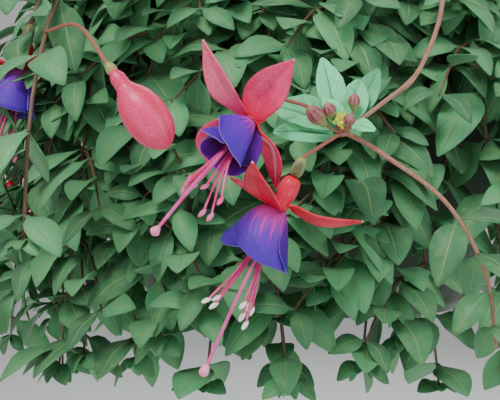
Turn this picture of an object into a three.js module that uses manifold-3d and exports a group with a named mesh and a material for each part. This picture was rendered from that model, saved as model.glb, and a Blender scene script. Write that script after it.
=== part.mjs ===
// A fuchsia growing in a plain plastic hanging pot, with one flowering spray arching over the front.
// Millimetres, +Z up. The origin is the inner crown of the hook, where a bracket carries the pot.
// Stems, leaves, buds and flowers lie GAP clear of what they grow from, so each stays a solid of its own.

import * as THREE from "three";
import { mergeVertices } from "three/addons/utils/BufferGeometryUtils.js";
import Module from "manifold-3d";

const wasm = await Module();
wasm.setup();

// ---- Driving dimensions -------------------------------------------------------------------------

const GAP = 0.3;

const POT = {
  rimRadius: 120, baseRadius: 84, rimHeight: -290, depth: 132, wall: 2.5, bead: 5, rimDepth: 14, foot: 6, facets: 32,
};
const SOIL = { top: -302, flatFrom: 60, dome: 4 };
const HOOK = { wire: 2, bend: 13, shankLength: 34, hubRadius: 8, hubThickness: 5 };
const ARM = { count: 3, firstAngle: 70, width: 5, thickness: 2.2 };
const SHOOT = { stemRadius: 1.3, leafPairs: 5, leafLength: 38, leafThickness: 0.7 };
const TUBE = { length: 11, radius: 4.4, mouthRadius: 4, boreRadius: 2.9, boreDepth: 5.5 };
const OVARY = { length: 8, radius: 1.8 };
const PETAL = { start: 2.6, thickness: 0.4, halfAngle: 42 };
const KNOT = new THREE.Vector3(5.6, -214, -339);
const KNOT_RADIUS = 2.2;

const COLOUR = {
  pot: "#26362a", soil: "#3b2a1f", hanger: "#26362a", stem: "#93645c", leaf: "#7fae86",
  sepal: "#d8344e", petal: "#5a3ba6", filament: "#de5082", bud: "#9c4a48", ovary: "#6e7850", tip: "#c4d45c",
};

const group = new THREE.Group();
const placed = {};

// ---- Building blocks ----------------------------------------------------------------------------

const vec = (x, y, z) => new THREE.Vector3(x, y, z);
const radians = THREE.MathUtils.degToRad;

function solid(geometry) {
  const bare = geometry.clone();
  bare.deleteAttribute("normal");
  bare.deleteAttribute("uv");
  const merged = mergeVertices(bare);
  const index = merged.getIndex().array;
  const triangles = [];
  for (let i = 0; i < index.length; i += 3) {
    const [a, b, c] = [index[i], index[i + 1], index[i + 2]];
    if (a !== b && b !== c && c !== a) triangles.push(a, b, c);
  }
  const build = (triVerts) => new wasm.Manifold(new wasm.Mesh({
    numProp: 3,
    vertProperties: new Float32Array(merged.getAttribute("position").array),
    triVerts: new Uint32Array(triVerts),
  }));
  const body = build(triangles);
  return body.volume() > 0 ? body : build(triangles.reverse());
}

function join(solids) {
  return solids.reduce((all, next) => all.add(next));
}

function largestPiece(body) {
  return body.decompose().sort((a, b) => b.volume() - a.volume())[0];
}

function cut(body, cutters) {
  return largestPiece(cutters.reduce((rest, cutter) => rest.subtract(cutter), body));
}

function addMesh(name, body, colour, roughness = 0.6) {
  const { vertProperties, triVerts, numProp } = body.getMesh();
  const geometry = new THREE.BufferGeometry();
  const positions = new Float32Array((vertProperties.length / numProp) * 3);
  for (let i = 0; i < positions.length / 3; i += 1) {
    for (let axis = 0; axis < 3; axis += 1) positions[3 * i + axis] = vertProperties[numProp * i + axis];
  }
  geometry.setAttribute("position", new THREE.BufferAttribute(positions, 3));
  geometry.setIndex(new THREE.BufferAttribute(new Uint32Array(triVerts), 1));
  geometry.computeVertexNormals();
  const material = new THREE.MeshStandardMaterial({ color: colour, roughness, metalness: 0 });
  const mesh = new THREE.Mesh(geometry, material);
  mesh.name = name;
  group.add(mesh);
  placed[name] = body;
}

// A solid swept with a round section along a smooth curve through the points.
function tube(points, radius, steps, sides = 6) {
  const corners = [];
  for (let i = 0; i < sides; i += 1) {
    const angle = (2 * Math.PI * i) / sides;
    corners.push(new THREE.Vector2(radius * Math.cos(angle), radius * Math.sin(angle)));
  }
  const path = new THREE.CatmullRomCurve3(points);
  return solid(new THREE.ExtrudeGeometry(new THREE.Shape(corners), {
    steps,
    extrudePath: path,
    bevelEnabled: false,
  }));
}

// The turn and shift that carry local +Z to the given axis and the local origin to the given point.
function standing(origin, axis) {
  const turn = new THREE.Quaternion().setFromUnitVectors(vec(0, 0, 1), axis.clone().normalize());
  return new THREE.Matrix4().compose(origin, turn, vec(1, 1, 1));
}

// A turned solid: profile points are [radius, height], starting and ending on the axis.
function turned(profile, segments, origin, axis) {
  const points = profile.map(([radius, height]) => new THREE.Vector2(radius, height));
  const geometry = new THREE.LatheGeometry(points, segments);
  geometry.rotateX(Math.PI / 2);
  geometry.applyMatrix4(standing(origin, axis));
  return solid(geometry);
}

function ball(centre, radius, columns = 8, rows = 5) {
  const geometry = new THREE.SphereGeometry(radius, columns, rows);
  geometry.translate(centre.x, centre.y, centre.z);
  return solid(geometry);
}

// An egg shape between two points, fullest in the middle.
function egg(start, end, radius, segments = 8) {
  const axis = end.clone().sub(start);
  const length = axis.length();
  const profile = [0, 0.15, 0.4, 0.65, 0.88, 1].map((t) => [
    t === 0 || t === 1 ? 0 : radius * Math.sin(Math.PI * t ** 0.9) ** 0.7,
    t * length,
  ]);
  return turned(profile, segments, start, axis);
}

// A thin blade along a curve. halfWidth(v) runs from the base (v = 0) to the tip (v = 1), facing is the
// way that its upper side looks, and cup lifts its edges as a part of the half width.
function blade(curve, halfWidth, facing, thickness, { across = 2, along = 5, cup = 0.2 } = {}) {
  const geometry = new THREE.BoxGeometry(1, 1, 1, across, along, 1);
  const positions = geometry.getAttribute("position");
  for (let i = 0; i < positions.count; i += 1) {
    const side = 2 * positions.getX(i);
    const v = positions.getY(i) + 0.5;
    const tangent = curve.getTangent(v);
    const sideways = tangent.clone().cross(facing).normalize();
    const upward = sideways.clone().cross(tangent);
    const width = halfWidth(v);
    const lift = cup * width * side * side + positions.getZ(i) * thickness;
    const point = curve.getPoint(v).addScaledVector(sideways, side * width).addScaledVector(upward, lift);
    positions.setXYZ(i, point.x, point.y, point.z);
  }
  return solid(geometry);
}

const leafOutline = (width, stalk) => (v) => {
  const blend = Math.max(0, (v - stalk) / (1 - stalk));
  return 0.5 + (width / 2 - 0.5) * Math.sin(Math.PI * blend ** 0.8) ** 0.8;
};

function leafBlade(base, tip, width, facing, { sag = 0.12, stalk = 0.12, grow = 0, along = 5, across = 2 } = {}) {
  const length = base.distanceTo(tip);
  const middle = base.clone().lerp(tip, 0.5).addScaledVector(facing, sag * length);
  const curve = new THREE.QuadraticBezierCurve3(base, middle, tip);
  const outline = leafOutline(width, stalk);
  const halfWidth = (v) => outline(v) + grow;
  return blade(curve, halfWidth, facing, SHOOT.leafThickness + 2 * grow, { across, along });
}

// ---- Pot, soil and hanger -----------------------------------------------------------------------

const potFloor = POT.rimHeight - POT.depth;
const upright = vec(0, 0, 1);
const centreLine = vec(0, 0, 0);

// The inner side of the pot from the middle of its floor up to the line below the rim, moved in by inset.
function potLining(inset) {
  const { rimRadius, baseRadius, rimHeight, wall, bead, rimDepth, foot } = POT;
  return [
    [0, potFloor + wall + inset],
    [baseRadius - foot - wall - inset, potFloor + wall + inset],
    [baseRadius - wall - inset, potFloor + foot + wall],
    [rimRadius - wall - bead / 2 - inset, rimHeight - rimDepth],
  ];
}

function buildPot() {
  const { rimRadius, baseRadius, rimHeight, wall, bead, rimDepth, foot } = POT;
  const outside = [
    [0, potFloor],
    [baseRadius - foot, potFloor],
    [baseRadius, potFloor + foot],
    [rimRadius - bead / 2, rimHeight - rimDepth],
    [rimRadius + bead, rimHeight - rimDepth],
    [rimRadius + bead, rimHeight],
    [rimRadius - wall, rimHeight],
  ];
  const profile = [...outside, ...potLining(0).reverse()];
  addMesh("pot", turned(profile, POT.facets, centreLine, upright), COLOUR.pot, 0.5);
}

function buildSoil() {
  const profile = [...potLining(1.2 * GAP), [SOIL.flatFrom, SOIL.top], [0, SOIL.top + SOIL.dome]];
  addMesh("soil", turned(profile, POT.facets, centreLine, upright), COLOUR.soil, 0.95);
}

const hubHeight = HOOK.wire - HOOK.bend - HOOK.shankLength;

function buildHook() {
  const { wire, bend, shankLength, hubRadius, hubThickness } = HOOK;
  const centre = wire - bend;
  const points = [vec(-bend, 0, centre - 4)];
  for (let angle = 180; angle >= 0; angle -= 30) {
    points.push(vec(bend * Math.cos(radians(angle)), 0, centre + bend * Math.sin(radians(angle))));
  }
  points.push(vec(bend, 0, centre - 8), vec(bend / 2, 0, centre - 18), vec(0, 0, centre - 26));
  points.push(vec(0, 0, centre - shankLength));
  const hub = turned(
    [[0, 0], [hubRadius, 0], [hubRadius, hubThickness], [0, hubThickness + 2]],
    12, vec(0, 0, hubHeight - hubThickness / 2), upright,
  );
  addMesh("hanger_hook", join([tube(points, wire, 26, 6), hub]), COLOUR.hanger, 0.5);
}

// Each strap runs from a foot against the hub down to a clip that laps over the rim bead.
function buildArms() {
  const { width, thickness } = ARM;
  const rim = POT.rimRadius + POT.bead;
  const outline = new THREE.Shape([
    [HOOK.hubRadius + GAP, hubHeight + 3],
    [HOOK.hubRadius + GAP, hubHeight - 3],
    [rim - POT.bead - 2, POT.rimHeight + GAP],
    [rim + GAP, POT.rimHeight + GAP],
    [rim + GAP, POT.rimHeight - 18],
    [rim + GAP + thickness, POT.rimHeight - 18],
    [rim + GAP + thickness, POT.rimHeight + 4],
    [rim - 4, POT.rimHeight + 4],
  ].map(([radius, height]) => new THREE.Vector2(radius, height)));
  for (let i = 0; i < ARM.count; i += 1) {
    const geometry = new THREE.ExtrudeGeometry(outline, { depth: width, bevelEnabled: false });
    geometry.translate(0, 0, -width / 2);
    geometry.rotateX(Math.PI / 2);
    geometry.rotateZ(radians(ARM.firstAngle + (360 / ARM.count) * i));
    addMesh(`hanger_arm_${i + 1}`, solid(geometry), COLOUR.hanger, 0.5);
  }
}

// ---- Flowers ------------------------------------------------------------------------------------

function tubeProfile(grow) {
  const { length, radius, mouthRadius } = TUBE;
  return [
    [0, -length - grow],
    [1.6 + grow, -length - grow],
    [radius - 0.6 + grow, -0.8 * length],
    [radius + grow, -0.5 * length],
    [mouthRadius + grow, -0.15 * length],
    [mouthRadius + grow, grow],
  ];
}

function flowerTube(base, axis) {
  const bore = [[TUBE.boreRadius, 0], [TUBE.boreRadius - 0.2, -TUBE.boreDepth], [0, -TUBE.boreDepth]];
  return turned([...tubeProfile(0), ...bore], 12, base, axis);
}

function tubeClearance(base, axis) {
  return turned([...tubeProfile(GAP), [0, GAP]], 12, base, axis);
}

function ovary(start, axis, grow) {
  const { length, radius } = OVARY;
  const profile = [[0, -grow], [1 + grow, -grow], [radius + grow, 3], [radius + grow, 5], [1.3 + grow, length]];
  return turned([...profile, [0, length]], 8, start, axis);
}

const sepalOutline = (width) => (v) => 0.35 + (width / 2) * Math.sin(Math.PI * (0.16 + 0.84 * v)) ** 0.9;

// A sepal springs from the mouth of the tube towards its tip, given as a shift from the flower's base.
function sepal(base, axis, tipShift, width, grow = 0, along = 5) {
  const radial = tipShift.clone().addScaledVector(axis, -tipShift.dot(axis)).normalize();
  const length = tipShift.length();
  const start = base.clone().addScaledVector(radial, TUBE.mouthRadius - 0.4).addScaledVector(axis, -0.8);
  const middle = base.clone().addScaledVector(radial, 0.5 * length).addScaledVector(axis, 0.1 * length);
  const curve = new THREE.QuadraticBezierCurve3(start, middle, base.clone().add(tipShift));
  const outline = sepalOutline(width);
  return blade(curve, (v) => outline(v) + grow, axis, 0.7 + 2 * grow, { across: 2, along, cup: -0.15 });
}

// A petal is a quarter of the bell: its outline is an angle and a height about the flower's axis.
function petal(base, axis, angle, bell) {
  const geometry = new THREE.BoxGeometry(1, 1, 1, 4, 5, 1);
  const positions = geometry.getAttribute("position");
  for (let i = 0; i < positions.count; i += 1) {
    const v = positions.getY(i) + 0.5;
    const side = 2 * positions.getX(i);
    const turn = angle + radians(PETAL.halfAngle) * side;
    const flare = PETAL.start + (bell.radius - PETAL.start) * v ** bell.flare;
    const radius = flare + (positions.getZ(i) + 0.5) * PETAL.thickness;
    const height = GAP + 0.2 + bell.length * v * (1 - 0.12 * side * side);
    positions.setXYZ(i, radius * Math.cos(turn), radius * Math.sin(turn), height);
  }
  geometry.applyMatrix4(standing(base, axis));
  return solid(geometry);
}

// Eight filaments on one ring, each ending in an anther. A filament leaves the ring on the side of the
// style that its anther lies on, so that none of them crosses the style.
function stamens(base, axis, tips, stigma) {
  const ring = [[1.3, -3.2], [2.4, -3.2], [2.4, -2.4], [1.3, -2.4], [1.3, -3.2]];
  const parts = [turned(ring, 12, base, axis)];
  const frame = standing(base, axis);
  const origin = vec(0, 0, 0).applyMatrix4(frame);
  const [right, up] = [vec(1, 0, 0), vec(0, 1, 0)].map((unit) => unit.applyMatrix4(frame).sub(origin));
  for (const tipShift of tips) {
    const fromStyle = tipShift.clone().addScaledVector(stigma, -tipShift.dot(axis) / stigma.dot(axis));
    const angle = Math.atan2(fromStyle.dot(up), fromStyle.dot(right));
    const root = vec(1.85 * Math.cos(angle), 1.85 * Math.sin(angle), -2.8).applyMatrix4(frame);
    const inside = vec(1.75 * Math.cos(angle), 1.75 * Math.sin(angle), 6).applyMatrix4(frame);
    const tip = base.clone().add(tipShift);
    const outward = inside.clone().addScaledVector(axis, 0.3 * tipShift.length()).lerp(tip, 0.25);
    parts.push(tube([root, inside, outward, tip], 0.4, 5, 4));
    parts.push(ball(tip, 1.2, 5, 3));
  }
  return join(parts);
}

function style(base, axis, tipShift) {
  const root = base.clone().addScaledVector(axis, GAP - TUBE.boreDepth);
  const inside = base.clone().addScaledVector(axis, 10);
  const tip = base.clone().add(tipShift);
  const outward = inside.clone().addScaledVector(axis, 0.35 * tipShift.length()).lerp(tip, 0.3);
  const head = tip.clone().sub(outward).setLength(2.4);
  return join([
    tube([root, inside, outward, tip], 0.75, 12, 6),
    egg(tip.clone().sub(head), tip.clone().add(head), 2, 8),
  ]);
}

function buildFlower(name, flower) {
  const { base, axis, sepals, bell, firstPetal, anthers, stigma, pedicel } = flower;
  const ovaryEnd = base.clone().addScaledVector(axis, -TUBE.length - GAP);
  const ovaryStart = ovaryEnd.clone().addScaledVector(axis, -OVARY.length);
  const stalk = tube([...pedicel, ovaryStart], 0.75, 8, 6);
  addMesh(`${name}_pedicel`, cut(stalk, [knotClearance, ovary(ovaryStart, axis, GAP)]), COLOUR.stem);
  addMesh(`${name}_ovary`, ovary(ovaryStart, axis, 0), COLOUR.ovary);
  addMesh(`${name}_tube`, flowerTube(base, axis), COLOUR.sepal, 0.3);
  const cutters = [tubeClearance(base, axis)];
  sepals.forEach(({ tip, width }, i) => {
    addMesh(`${name}_sepal_${i + 1}`, cut(sepal(base, axis, tip, width), cutters), COLOUR.sepal, 0.35);
    cutters.push(sepal(base, axis, tip, width, GAP));
  });
  for (let i = 0; i < 4; i += 1) {
    const angle = radians(firstPetal + 90 * i);
    addMesh(`${name}_petal_${i + 1}`, petal(base, axis, angle, bell), COLOUR.petal, 0.6);
  }
  addMesh(`${name}_stamens`, stamens(base, axis, anthers, stigma), COLOUR.filament, 0.4);
  addMesh(`${name}_style`, style(base, axis, stigma), COLOUR.filament, 0.4);
}

// A flower seen only from afar: pedicel, tube, four sepals, a closed bell and the style in one solid.
function simpleFlower(start, base, axis) {
  const back = base.clone().addScaledVector(axis, -TUBE.length - OVARY.length);
  const bend = start.clone().lerp(back, 0.6).add(vec(0, 0, 5));
  const parts = [
    tube([start, bend, back.clone().addScaledVector(axis, 1)], 0.8, 5, 4),
    turned([[0, 0], [1.6, 1], [1.4, 8], [4.4, 13], [4, 19.5], [0, 19.5]], 7, back, axis),
    turned([[0, -1], [3.2, 0], [8, 12], [10, 22], [0, 20]], 8, base, axis),
    tube([base.clone(), base.clone().addScaledVector(axis, 62)], 0.8, 1, 4),
    ball(base.clone().addScaledVector(axis, 62), 2, 5, 4),
  ];
  const frame = standing(base, axis);
  for (let i = 0; i < 4; i += 1) {
    const angle = radians(20 + 90 * i);
    const out = vec(28 * Math.cos(angle), 28 * Math.sin(angle), -5);
    const origin = vec(0, 0, 0).applyMatrix4(frame);
    parts.push(sepal(base, axis, out.applyMatrix4(frame).sub(origin), 10, 0, 2));
  }
  return join(parts);
}

// ---- The flowering spray in front ---------------------------------------------------------------

const sprayPath = [
  vec(4, -32, SOIL.top - 2), vec(24, -80, -256), vec(42, -135, -250), vec(48, -182, -282),
  vec(36, -206, -314), vec(21.5, -212, -327.3), KNOT,
];

const knotClearance = join([
  tube(sprayPath, SHOOT.stemRadius + GAP, 28, 6),
  ball(KNOT, KNOT_RADIUS + GAP, 10, 7),
]);

function buildSprayStem() {
  const stem = join([tube(sprayPath, SHOOT.stemRadius, 28, 6), ball(KNOT, KNOT_RADIUS, 10, 7)]);
  addMesh("spray_stem", cut(stem, [soilClearance]), COLOUR.stem);
}

const upperFlower = {
  base: vec(-27, -228, -335.5),
  axis: vec(-0.45, -0.68, -0.58).normalize(),
  pedicel: [KNOT.clone().add(vec(-1, 1, 1)), vec(-2, -211.5, -332), vec(-11, -211.5, -326.5)],
  sepals: [
    { tip: vec(-20.4, -7, 29.5), width: 10 },
    { tip: vec(13.6, -14.5, 23.4), width: 13 },
    { tip: vec(7, 13, -25.5), width: 11 },
    { tip: vec(-19, 15, -10), width: 11 },
  ],
  bell: { length: 19, radius: 13, flare: 0.8 },
  firstPetal: 0,
  anthers: [
    vec(-25.4, -24, -23.5), vec(-26.6, -22, -25.6), vec(-23, -21.7, -24.5), vec(-18.8, -20.5, -24.5),
    vec(-19.8, -20, -33.8), vec(-17, -20, -35.2), vec(-13.4, -20, -29.5), vec(-24.4, -21.4, -21.6),
  ],
  stigma: vec(-34.9, -46, -39.7),
};

const lowerFlower = {
  base: vec(-18.8, -226, -366.1),
  axis: vec(-0.42, 0.1, -0.9).normalize(),
  pedicel: [KNOT.clone().add(vec(-1, -1, -1)), vec(-1.5, -219.5, -343.5)],
  sepals: [
    { tip: vec(30.9, -4, -8), width: 8 },
    { tip: vec(-10.5, -23, 14.8), width: 11 },
    { tip: vec(-19, 18, 10), width: 10 },
    { tip: vec(8, 27, 6), width: 10 },
  ],
  bell: { length: 27, radius: 14, flare: 0.9 },
  firstPetal: 55,
  anthers: [
    vec(-27, -3, -36), vec(-24.4, 3, -38.3), vec(-21.8, -5, -32.3), vec(-13.5, -4, -37.5),
    vec(-10.5, -1, -40.1), vec(-13.9, 3, -42.4), vec(-12.8, -4, -45), vec(-18, 6, -41),
  ],
  stigma: vec(-28.5, -8, -62.6),
};

const sprayBuds = [
  { name: "bud_1", start: vec(-1.6, -218.5, -336.2), end: vec(-8.2, -224, -330.2), radius: 3.2 },
  { name: "bud_2", start: vec(1.6, -217.5, -333.6), end: vec(-1.2, -220.5, -328.4), radius: 2.4 },
  { name: "bud_3", start: vec(7, -220.5, -336.6), end: vec(7.6, -225.5, -333.6), radius: 2.1 },
  { name: "bud_4", start: vec(9.4, -215.2, -330.6), end: vec(9.2, -216.6, -324.2), radius: 2.4 },
];

function buildSprayBuds() {
  for (const { name, start, end, radius } of sprayBuds) {
    const outward = end.clone().sub(start).setLength(1);
    const stalk = [KNOT.clone().lerp(start, 0.3), start.clone().addScaledVector(outward, 1)];
    const bud = join([tube(stalk, 0.5, 2, 6), egg(start, end, radius)]);
    addMesh(name, cut(bud, [knotClearance, ...touching(bud)]), COLOUR.bud, 0.5);
  }
}

const towardsFront = vec(0.1, -0.92, 0.38).normalize();
const nearKnot = (x, y, z) => KNOT.clone().add(vec(x, y, z));
const sprayLeaves = [
  { name: "leaf_up", base: nearKnot(-0.5, 1.4, 1.2), tip: vec(-0.8, -204, -309.3), width: 11 },
  { name: "leaf_hood", base: nearKnot(-0.6, -0.6, 1.6), tip: vec(-2, -214, -325.5), width: 6 },
  { name: "leaf_right", base: nearKnot(0.7, 1.6, 1.4), tip: vec(9, -205, -318.5), width: 9 },
  { name: "leaf_far_right", base: nearKnot(1.6, 1.6, 0.8), tip: vec(17.6, -203, -320), width: 9 },
  { name: "leaf_small", base: nearKnot(1.4, -1.5, 0.4), tip: vec(17.4, -221, -337.2), width: 6 },
  { name: "leaf_left", base: nearKnot(-1.2, 1.8, -0.6), tip: vec(-20.3, -205, -336.6), width: 11 },
  { name: "leaf_behind", base: nearKnot(-0.8, 2, 0.4), tip: vec(-17, -194, -323), width: 12 },
];

function buildSprayLeaves() {
  for (const { name, base, tip, width } of sprayLeaves) {
    const leaf = leafBlade(base, tip, width, towardsFront, { sag: 0.05, stalk: 0.08 });
    addMesh(name, cut(leaf, [knotClearance, ...touching(leaf)]), COLOUR.leaf, 0.65);
  }
}

function buildGrowingTip() {
  const start = vec(5.2, -217, -337);
  const leaflets = [vec(3, -221.5, -333.6), vec(5.6, -222.5, -333)].map((tip) => egg(start, tip, 0.9, 6));
  const tip = join(leaflets);
  addMesh("growing_tip", cut(tip, [knotClearance, ...touching(tip)]), COLOUR.tip, 0.6);
}

// ---- The rest of the plant ----------------------------------------------------------------------

const soilClearance = turned([
  [0, SOIL.top - 8], [SOIL.flatFrom, SOIL.top - 8], [SOIL.flatFrom, SOIL.top + GAP], [0, SOIL.top + SOIL.dome + GAP],
], POT.facets, centreLine, upright);

// Copies of the placed solids that a new one runs into, each a little fuller than the original.
function touching(body) {
  return Object.values(placed)
    .filter((other) => other.minGap(body, 1) < GAP)
    .map((other) => other.minkowskiSum(ball(vec(0, 0, 0), GAP, 4, 2)));
}

function clearOfAll(body, stems = []) {
  return [...Object.values(placed), ...stems].every((other) => other.minGap(body, 1) > GAP);
}

// A shoot rises from the soil, arches over the rim and hangs outside it.
function archPath(azimuth, reach, fall) {
  const at = (part, height) => vec(
    part * reach * Math.cos(radians(azimuth)), part * reach * Math.sin(radians(azimuth)), SOIL.top + height,
  );
  return [at(0.16, -2), at(0.4, 44), at(0.72, 48), at(0.94, -10), at(1, -fall)];
}

const shootPaths = [
  archPath(-90, 150, 96), archPath(-32, 188, 110), archPath(8, 182, 128), archPath(44, 190, 100),
  archPath(98, 184, 124), archPath(133, 192, 104), archPath(168, 180, 130), archPath(216, 190, 112),
  [vec(-14, -28, SOIL.top - 2), vec(-50, -75, -256), vec(-84, -135, -250), vec(-104, -190, -278),
    vec(-112, -222, -325), vec(-114, -232, -380)],
];

// Opposite leaves in pairs, lifted and lowered by turns. Their upper sides look up and away from the pot.
function shootLeaves(curve, pairs) {
  const leaves = [];
  for (let i = 0; i < pairs; i += 1) {
    const t = 0.2 + (0.76 * i) / (pairs - 1);
    const centre = curve.getPoint(t);
    const tangent = curve.getTangent(t);
    const outward = vec(centre.x, centre.y, 0).normalize();
    const level = upright.clone().cross(outward);
    const across = level.addScaledVector(tangent, -level.dot(tangent)).normalize();
    const size = SHOOT.leafLength * (1 - 0.35 * t);
    const facing = outward.clone().add(vec(0, 0, 0.8)).normalize();
    for (const side of [-1, 1]) {
      const reach = across.clone().multiplyScalar(side).addScaledVector(tangent, i % 2 ? 0.7 : 0.25);
      reach.addScaledVector(outward, i % 2 ? 0.2 : 0.45).add(vec(0, 0, -0.2)).setLength(size);
      const base = centre.clone().addScaledVector(reach, -0.04);
      leaves.push(leafBlade(base, centre.clone().add(reach), 0.5 * size, facing, { along: 2, across: 1 }));
    }
  }
  return leaves;
}

const shootStems = shootPaths.map((path) => tube(path, SHOOT.stemRadius, 18, 5));

function buildShoot(i) {
  const otherStems = shootStems.filter((stem, j) => j !== i);
  const curve = new THREE.CatmullRomCurve3(shootPaths[i]);
  const leaves = shootLeaves(curve, SHOOT.leafPairs).filter((leaf) => clearOfAll(leaf, otherStems));
  addMesh(`shoot_${i + 1}`, join([cut(shootStems[i], [soilClearance]), ...leaves]), COLOUR.leaf, 0.65);
}

function buildSideBranch() {
  const path = [KNOT, vec(12, -215, -342), vec(21.1, -216, -347.8), vec(44, -222, -366), vec(58, -226, -392),
    vec(62, -227, -420)];
  const stem = cut(tube(path, 0.8, 16, 6), [knotClearance]);
  const curve = new THREE.CatmullRomCurve3(path);
  const leaves = shootLeaves(curve, SHOOT.leafPairs).filter((leaf, i) => i > 1 && clearOfAll(leaf, shootStems));
  addMesh("side_branch", join([stem, ...leaves]), COLOUR.stem);
}

function buildMatureBud() {
  const start = new THREE.CatmullRomCurve3(shootPaths[8]).getPoint(0.72);
  const neck = vec(-75.7, -250, -323.9);
  const tip = vec(-57, -250, -350);
  const axis = tip.clone().sub(neck).normalize();
  const bud = join([
    tube([start, vec(-96, -232, -300), vec(-84, -247, -308), neck.clone().addScaledVector(axis, 1)], 0.8, 8, 6),
    turned([[0, 0], [2, 0], [3.6, 4], [3.8, 9], [5, 13], [8, 20], [7.4, 26], [3, 31], [0, 33]], 12, neck, axis),
  ]);
  const shootSkin = tube(shootPaths[8], SHOOT.stemRadius + GAP, 28, 7);
  addMesh("mature_bud", cut(bud, [shootSkin]), COLOUR.sepal, 0.35);
}

// A flower hanging from a shoot: its place along the shoot, and how far out and down its base lies.
const hangingFlowers = [
  { shoot: 1, t: 0.8, out: 16, down: 46 },
  { shoot: 3, t: 0.78, out: 18, down: 44 },
  { shoot: 5, t: 0.8, out: 15, down: 46 },
  { shoot: 7, t: 0.78, out: 17, down: 45 },
];

function buildHangingFlowers() {
  hangingFlowers.forEach(({ shoot, t, out, down }, i) => {
    const start = new THREE.CatmullRomCurve3(shootPaths[shoot]).getPoint(t);
    const outward = vec(start.x, start.y, 0).normalize();
    const axis = outward.clone().multiplyScalar(0.25).add(vec(0, 0, -1)).normalize();
    const base = start.clone().addScaledVector(outward, out).add(vec(0, 0, -down));
    const flower = simpleFlower(start, base, axis);
    const shootSkin = tube(shootPaths[shoot], SHOOT.stemRadius + GAP, 28, 7);
    addMesh(`hanging_flower_${i + 1}`, cut(flower, [shootSkin]), COLOUR.sepal, 0.4);
  });
}

buildPot();
buildSoil();
buildHook();
buildArms();
buildSprayStem();
buildFlower("upper", upperFlower);
buildFlower("lower", lowerFlower);
buildSprayBuds();
buildGrowingTip();
buildSprayLeaves();
buildMatureBud();
buildHangingFlowers();
buildSideBranch();
shootPaths.forEach((path, i) => buildShoot(i));

export default group;
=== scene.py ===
"""A fuchsia trailing from a plain hanging pot, with one flowering spray arching over the front.

Lengths in the settings are in millimetres and become metres where a mesh is made. The origin is the
inner crown of the hook, +Z is up and -Y is the front.
"""

import random
from bisect import bisect_right
from contextlib import contextmanager
from functools import cache, cached_property, partial
from math import atan2, cos, degrees, pi, radians, sin

import bmesh
import bpy
from bpy.types import Operator, Panel, PropertyGroup
from mathutils import Matrix, Vector, noise
from mathutils.geometry import interpolate_bezier


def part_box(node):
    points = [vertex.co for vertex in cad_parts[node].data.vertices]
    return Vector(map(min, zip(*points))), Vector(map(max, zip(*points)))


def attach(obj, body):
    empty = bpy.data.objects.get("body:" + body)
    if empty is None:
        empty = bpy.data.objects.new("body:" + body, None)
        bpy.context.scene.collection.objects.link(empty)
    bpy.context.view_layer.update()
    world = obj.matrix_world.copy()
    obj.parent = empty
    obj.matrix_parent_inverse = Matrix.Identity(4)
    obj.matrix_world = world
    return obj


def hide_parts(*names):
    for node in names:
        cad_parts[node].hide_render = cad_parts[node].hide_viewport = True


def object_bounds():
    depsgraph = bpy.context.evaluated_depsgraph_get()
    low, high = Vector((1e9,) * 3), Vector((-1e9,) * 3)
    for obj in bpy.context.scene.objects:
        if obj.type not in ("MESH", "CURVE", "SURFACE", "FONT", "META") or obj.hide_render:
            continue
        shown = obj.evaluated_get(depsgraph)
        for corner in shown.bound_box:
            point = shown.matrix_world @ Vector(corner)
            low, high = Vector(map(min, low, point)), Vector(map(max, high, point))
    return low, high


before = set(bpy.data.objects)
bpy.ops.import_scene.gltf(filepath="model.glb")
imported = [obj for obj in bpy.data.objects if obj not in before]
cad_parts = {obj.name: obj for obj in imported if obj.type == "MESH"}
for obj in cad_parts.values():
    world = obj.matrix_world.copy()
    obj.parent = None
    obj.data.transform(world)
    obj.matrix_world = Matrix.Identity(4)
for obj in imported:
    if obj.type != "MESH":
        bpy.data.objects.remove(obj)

bl_info = {
    "name": "Hanging fuchsia",
    "version": (1, 0, 0),
    "blender": (4, 5, 0),
    "location": "View3D > Sidebar > Fuchsia",
    "description": "Builds a fuchsia plant in a hanging pot, piece by piece",
    "category": "Object",
}

MM = 0.001
UP = Vector((0, 0, 1))
FRONT = Vector((0, -1, 0))
CAD_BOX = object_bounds()
POT_LOW, POT_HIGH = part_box("pot")
POT_FOOT = 84 * MM
POT_FLARE = 38 * MM
FLOOR_DROP = 280 * MM
STYLE_LENGTH = 61 * MM


# ---- Settings ----


def length(name, description, default):
    """A property that holds a length in millimetres."""
    return bpy.props.FloatProperty(name=name, description=description, default=default, min=0.01)


def colour(name, description, default):
    """A property that holds a linear colour."""
    return bpy.props.FloatVectorProperty(
        name=name, description=description, default=default, subtype="COLOR", min=0, max=1,
    )


class PotSettings(PropertyGroup):
    wall: length("Wall", "Thickness of the pot's wall", 2.5)
    rim_depth: length("Rim depth", "Height of the thick band round the rim", 14)
    rim_bead: length("Rim bead", "How far the band stands out from the wall", 5)
    plastic: colour("Plastic", "Colour of the pot, hook and straps", (0.022, 0.05, 0.028))


class FlowerSettings(PropertyGroup):
    tube_radius: length("Tube radius", "Radius of the red tube at its fullest", 4.0)
    mouth_radius: length("Mouth radius", "Radius of the tube where the sepals spring", 3.4)
    tube_length: length("Tube length", "Length of the red tube", 12.4)
    ovary_length: length("Ovary length", "Length of the green ovary", 8.0)
    sepal_thickness: length("Sepal thickness", "Thickness of a sepal", 0.7)
    petal_thickness: length("Petal thickness", "Thickness of a petal", 0.25)
    violet: colour("Violet", "Colour of the petals", (0.105, 0.012, 0.47))
    magenta: colour("Magenta", "Colour of the petals' veins near the tube", (0.66, 0.03, 0.35))
    scarlet: colour("Scarlet", "Colour of the tube and the lower sepals", (0.80, 0.003, 0.02))
    rose: colour("Rose", "Colour of the upper sepals", (0.88, 0.022, 0.17))


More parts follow.
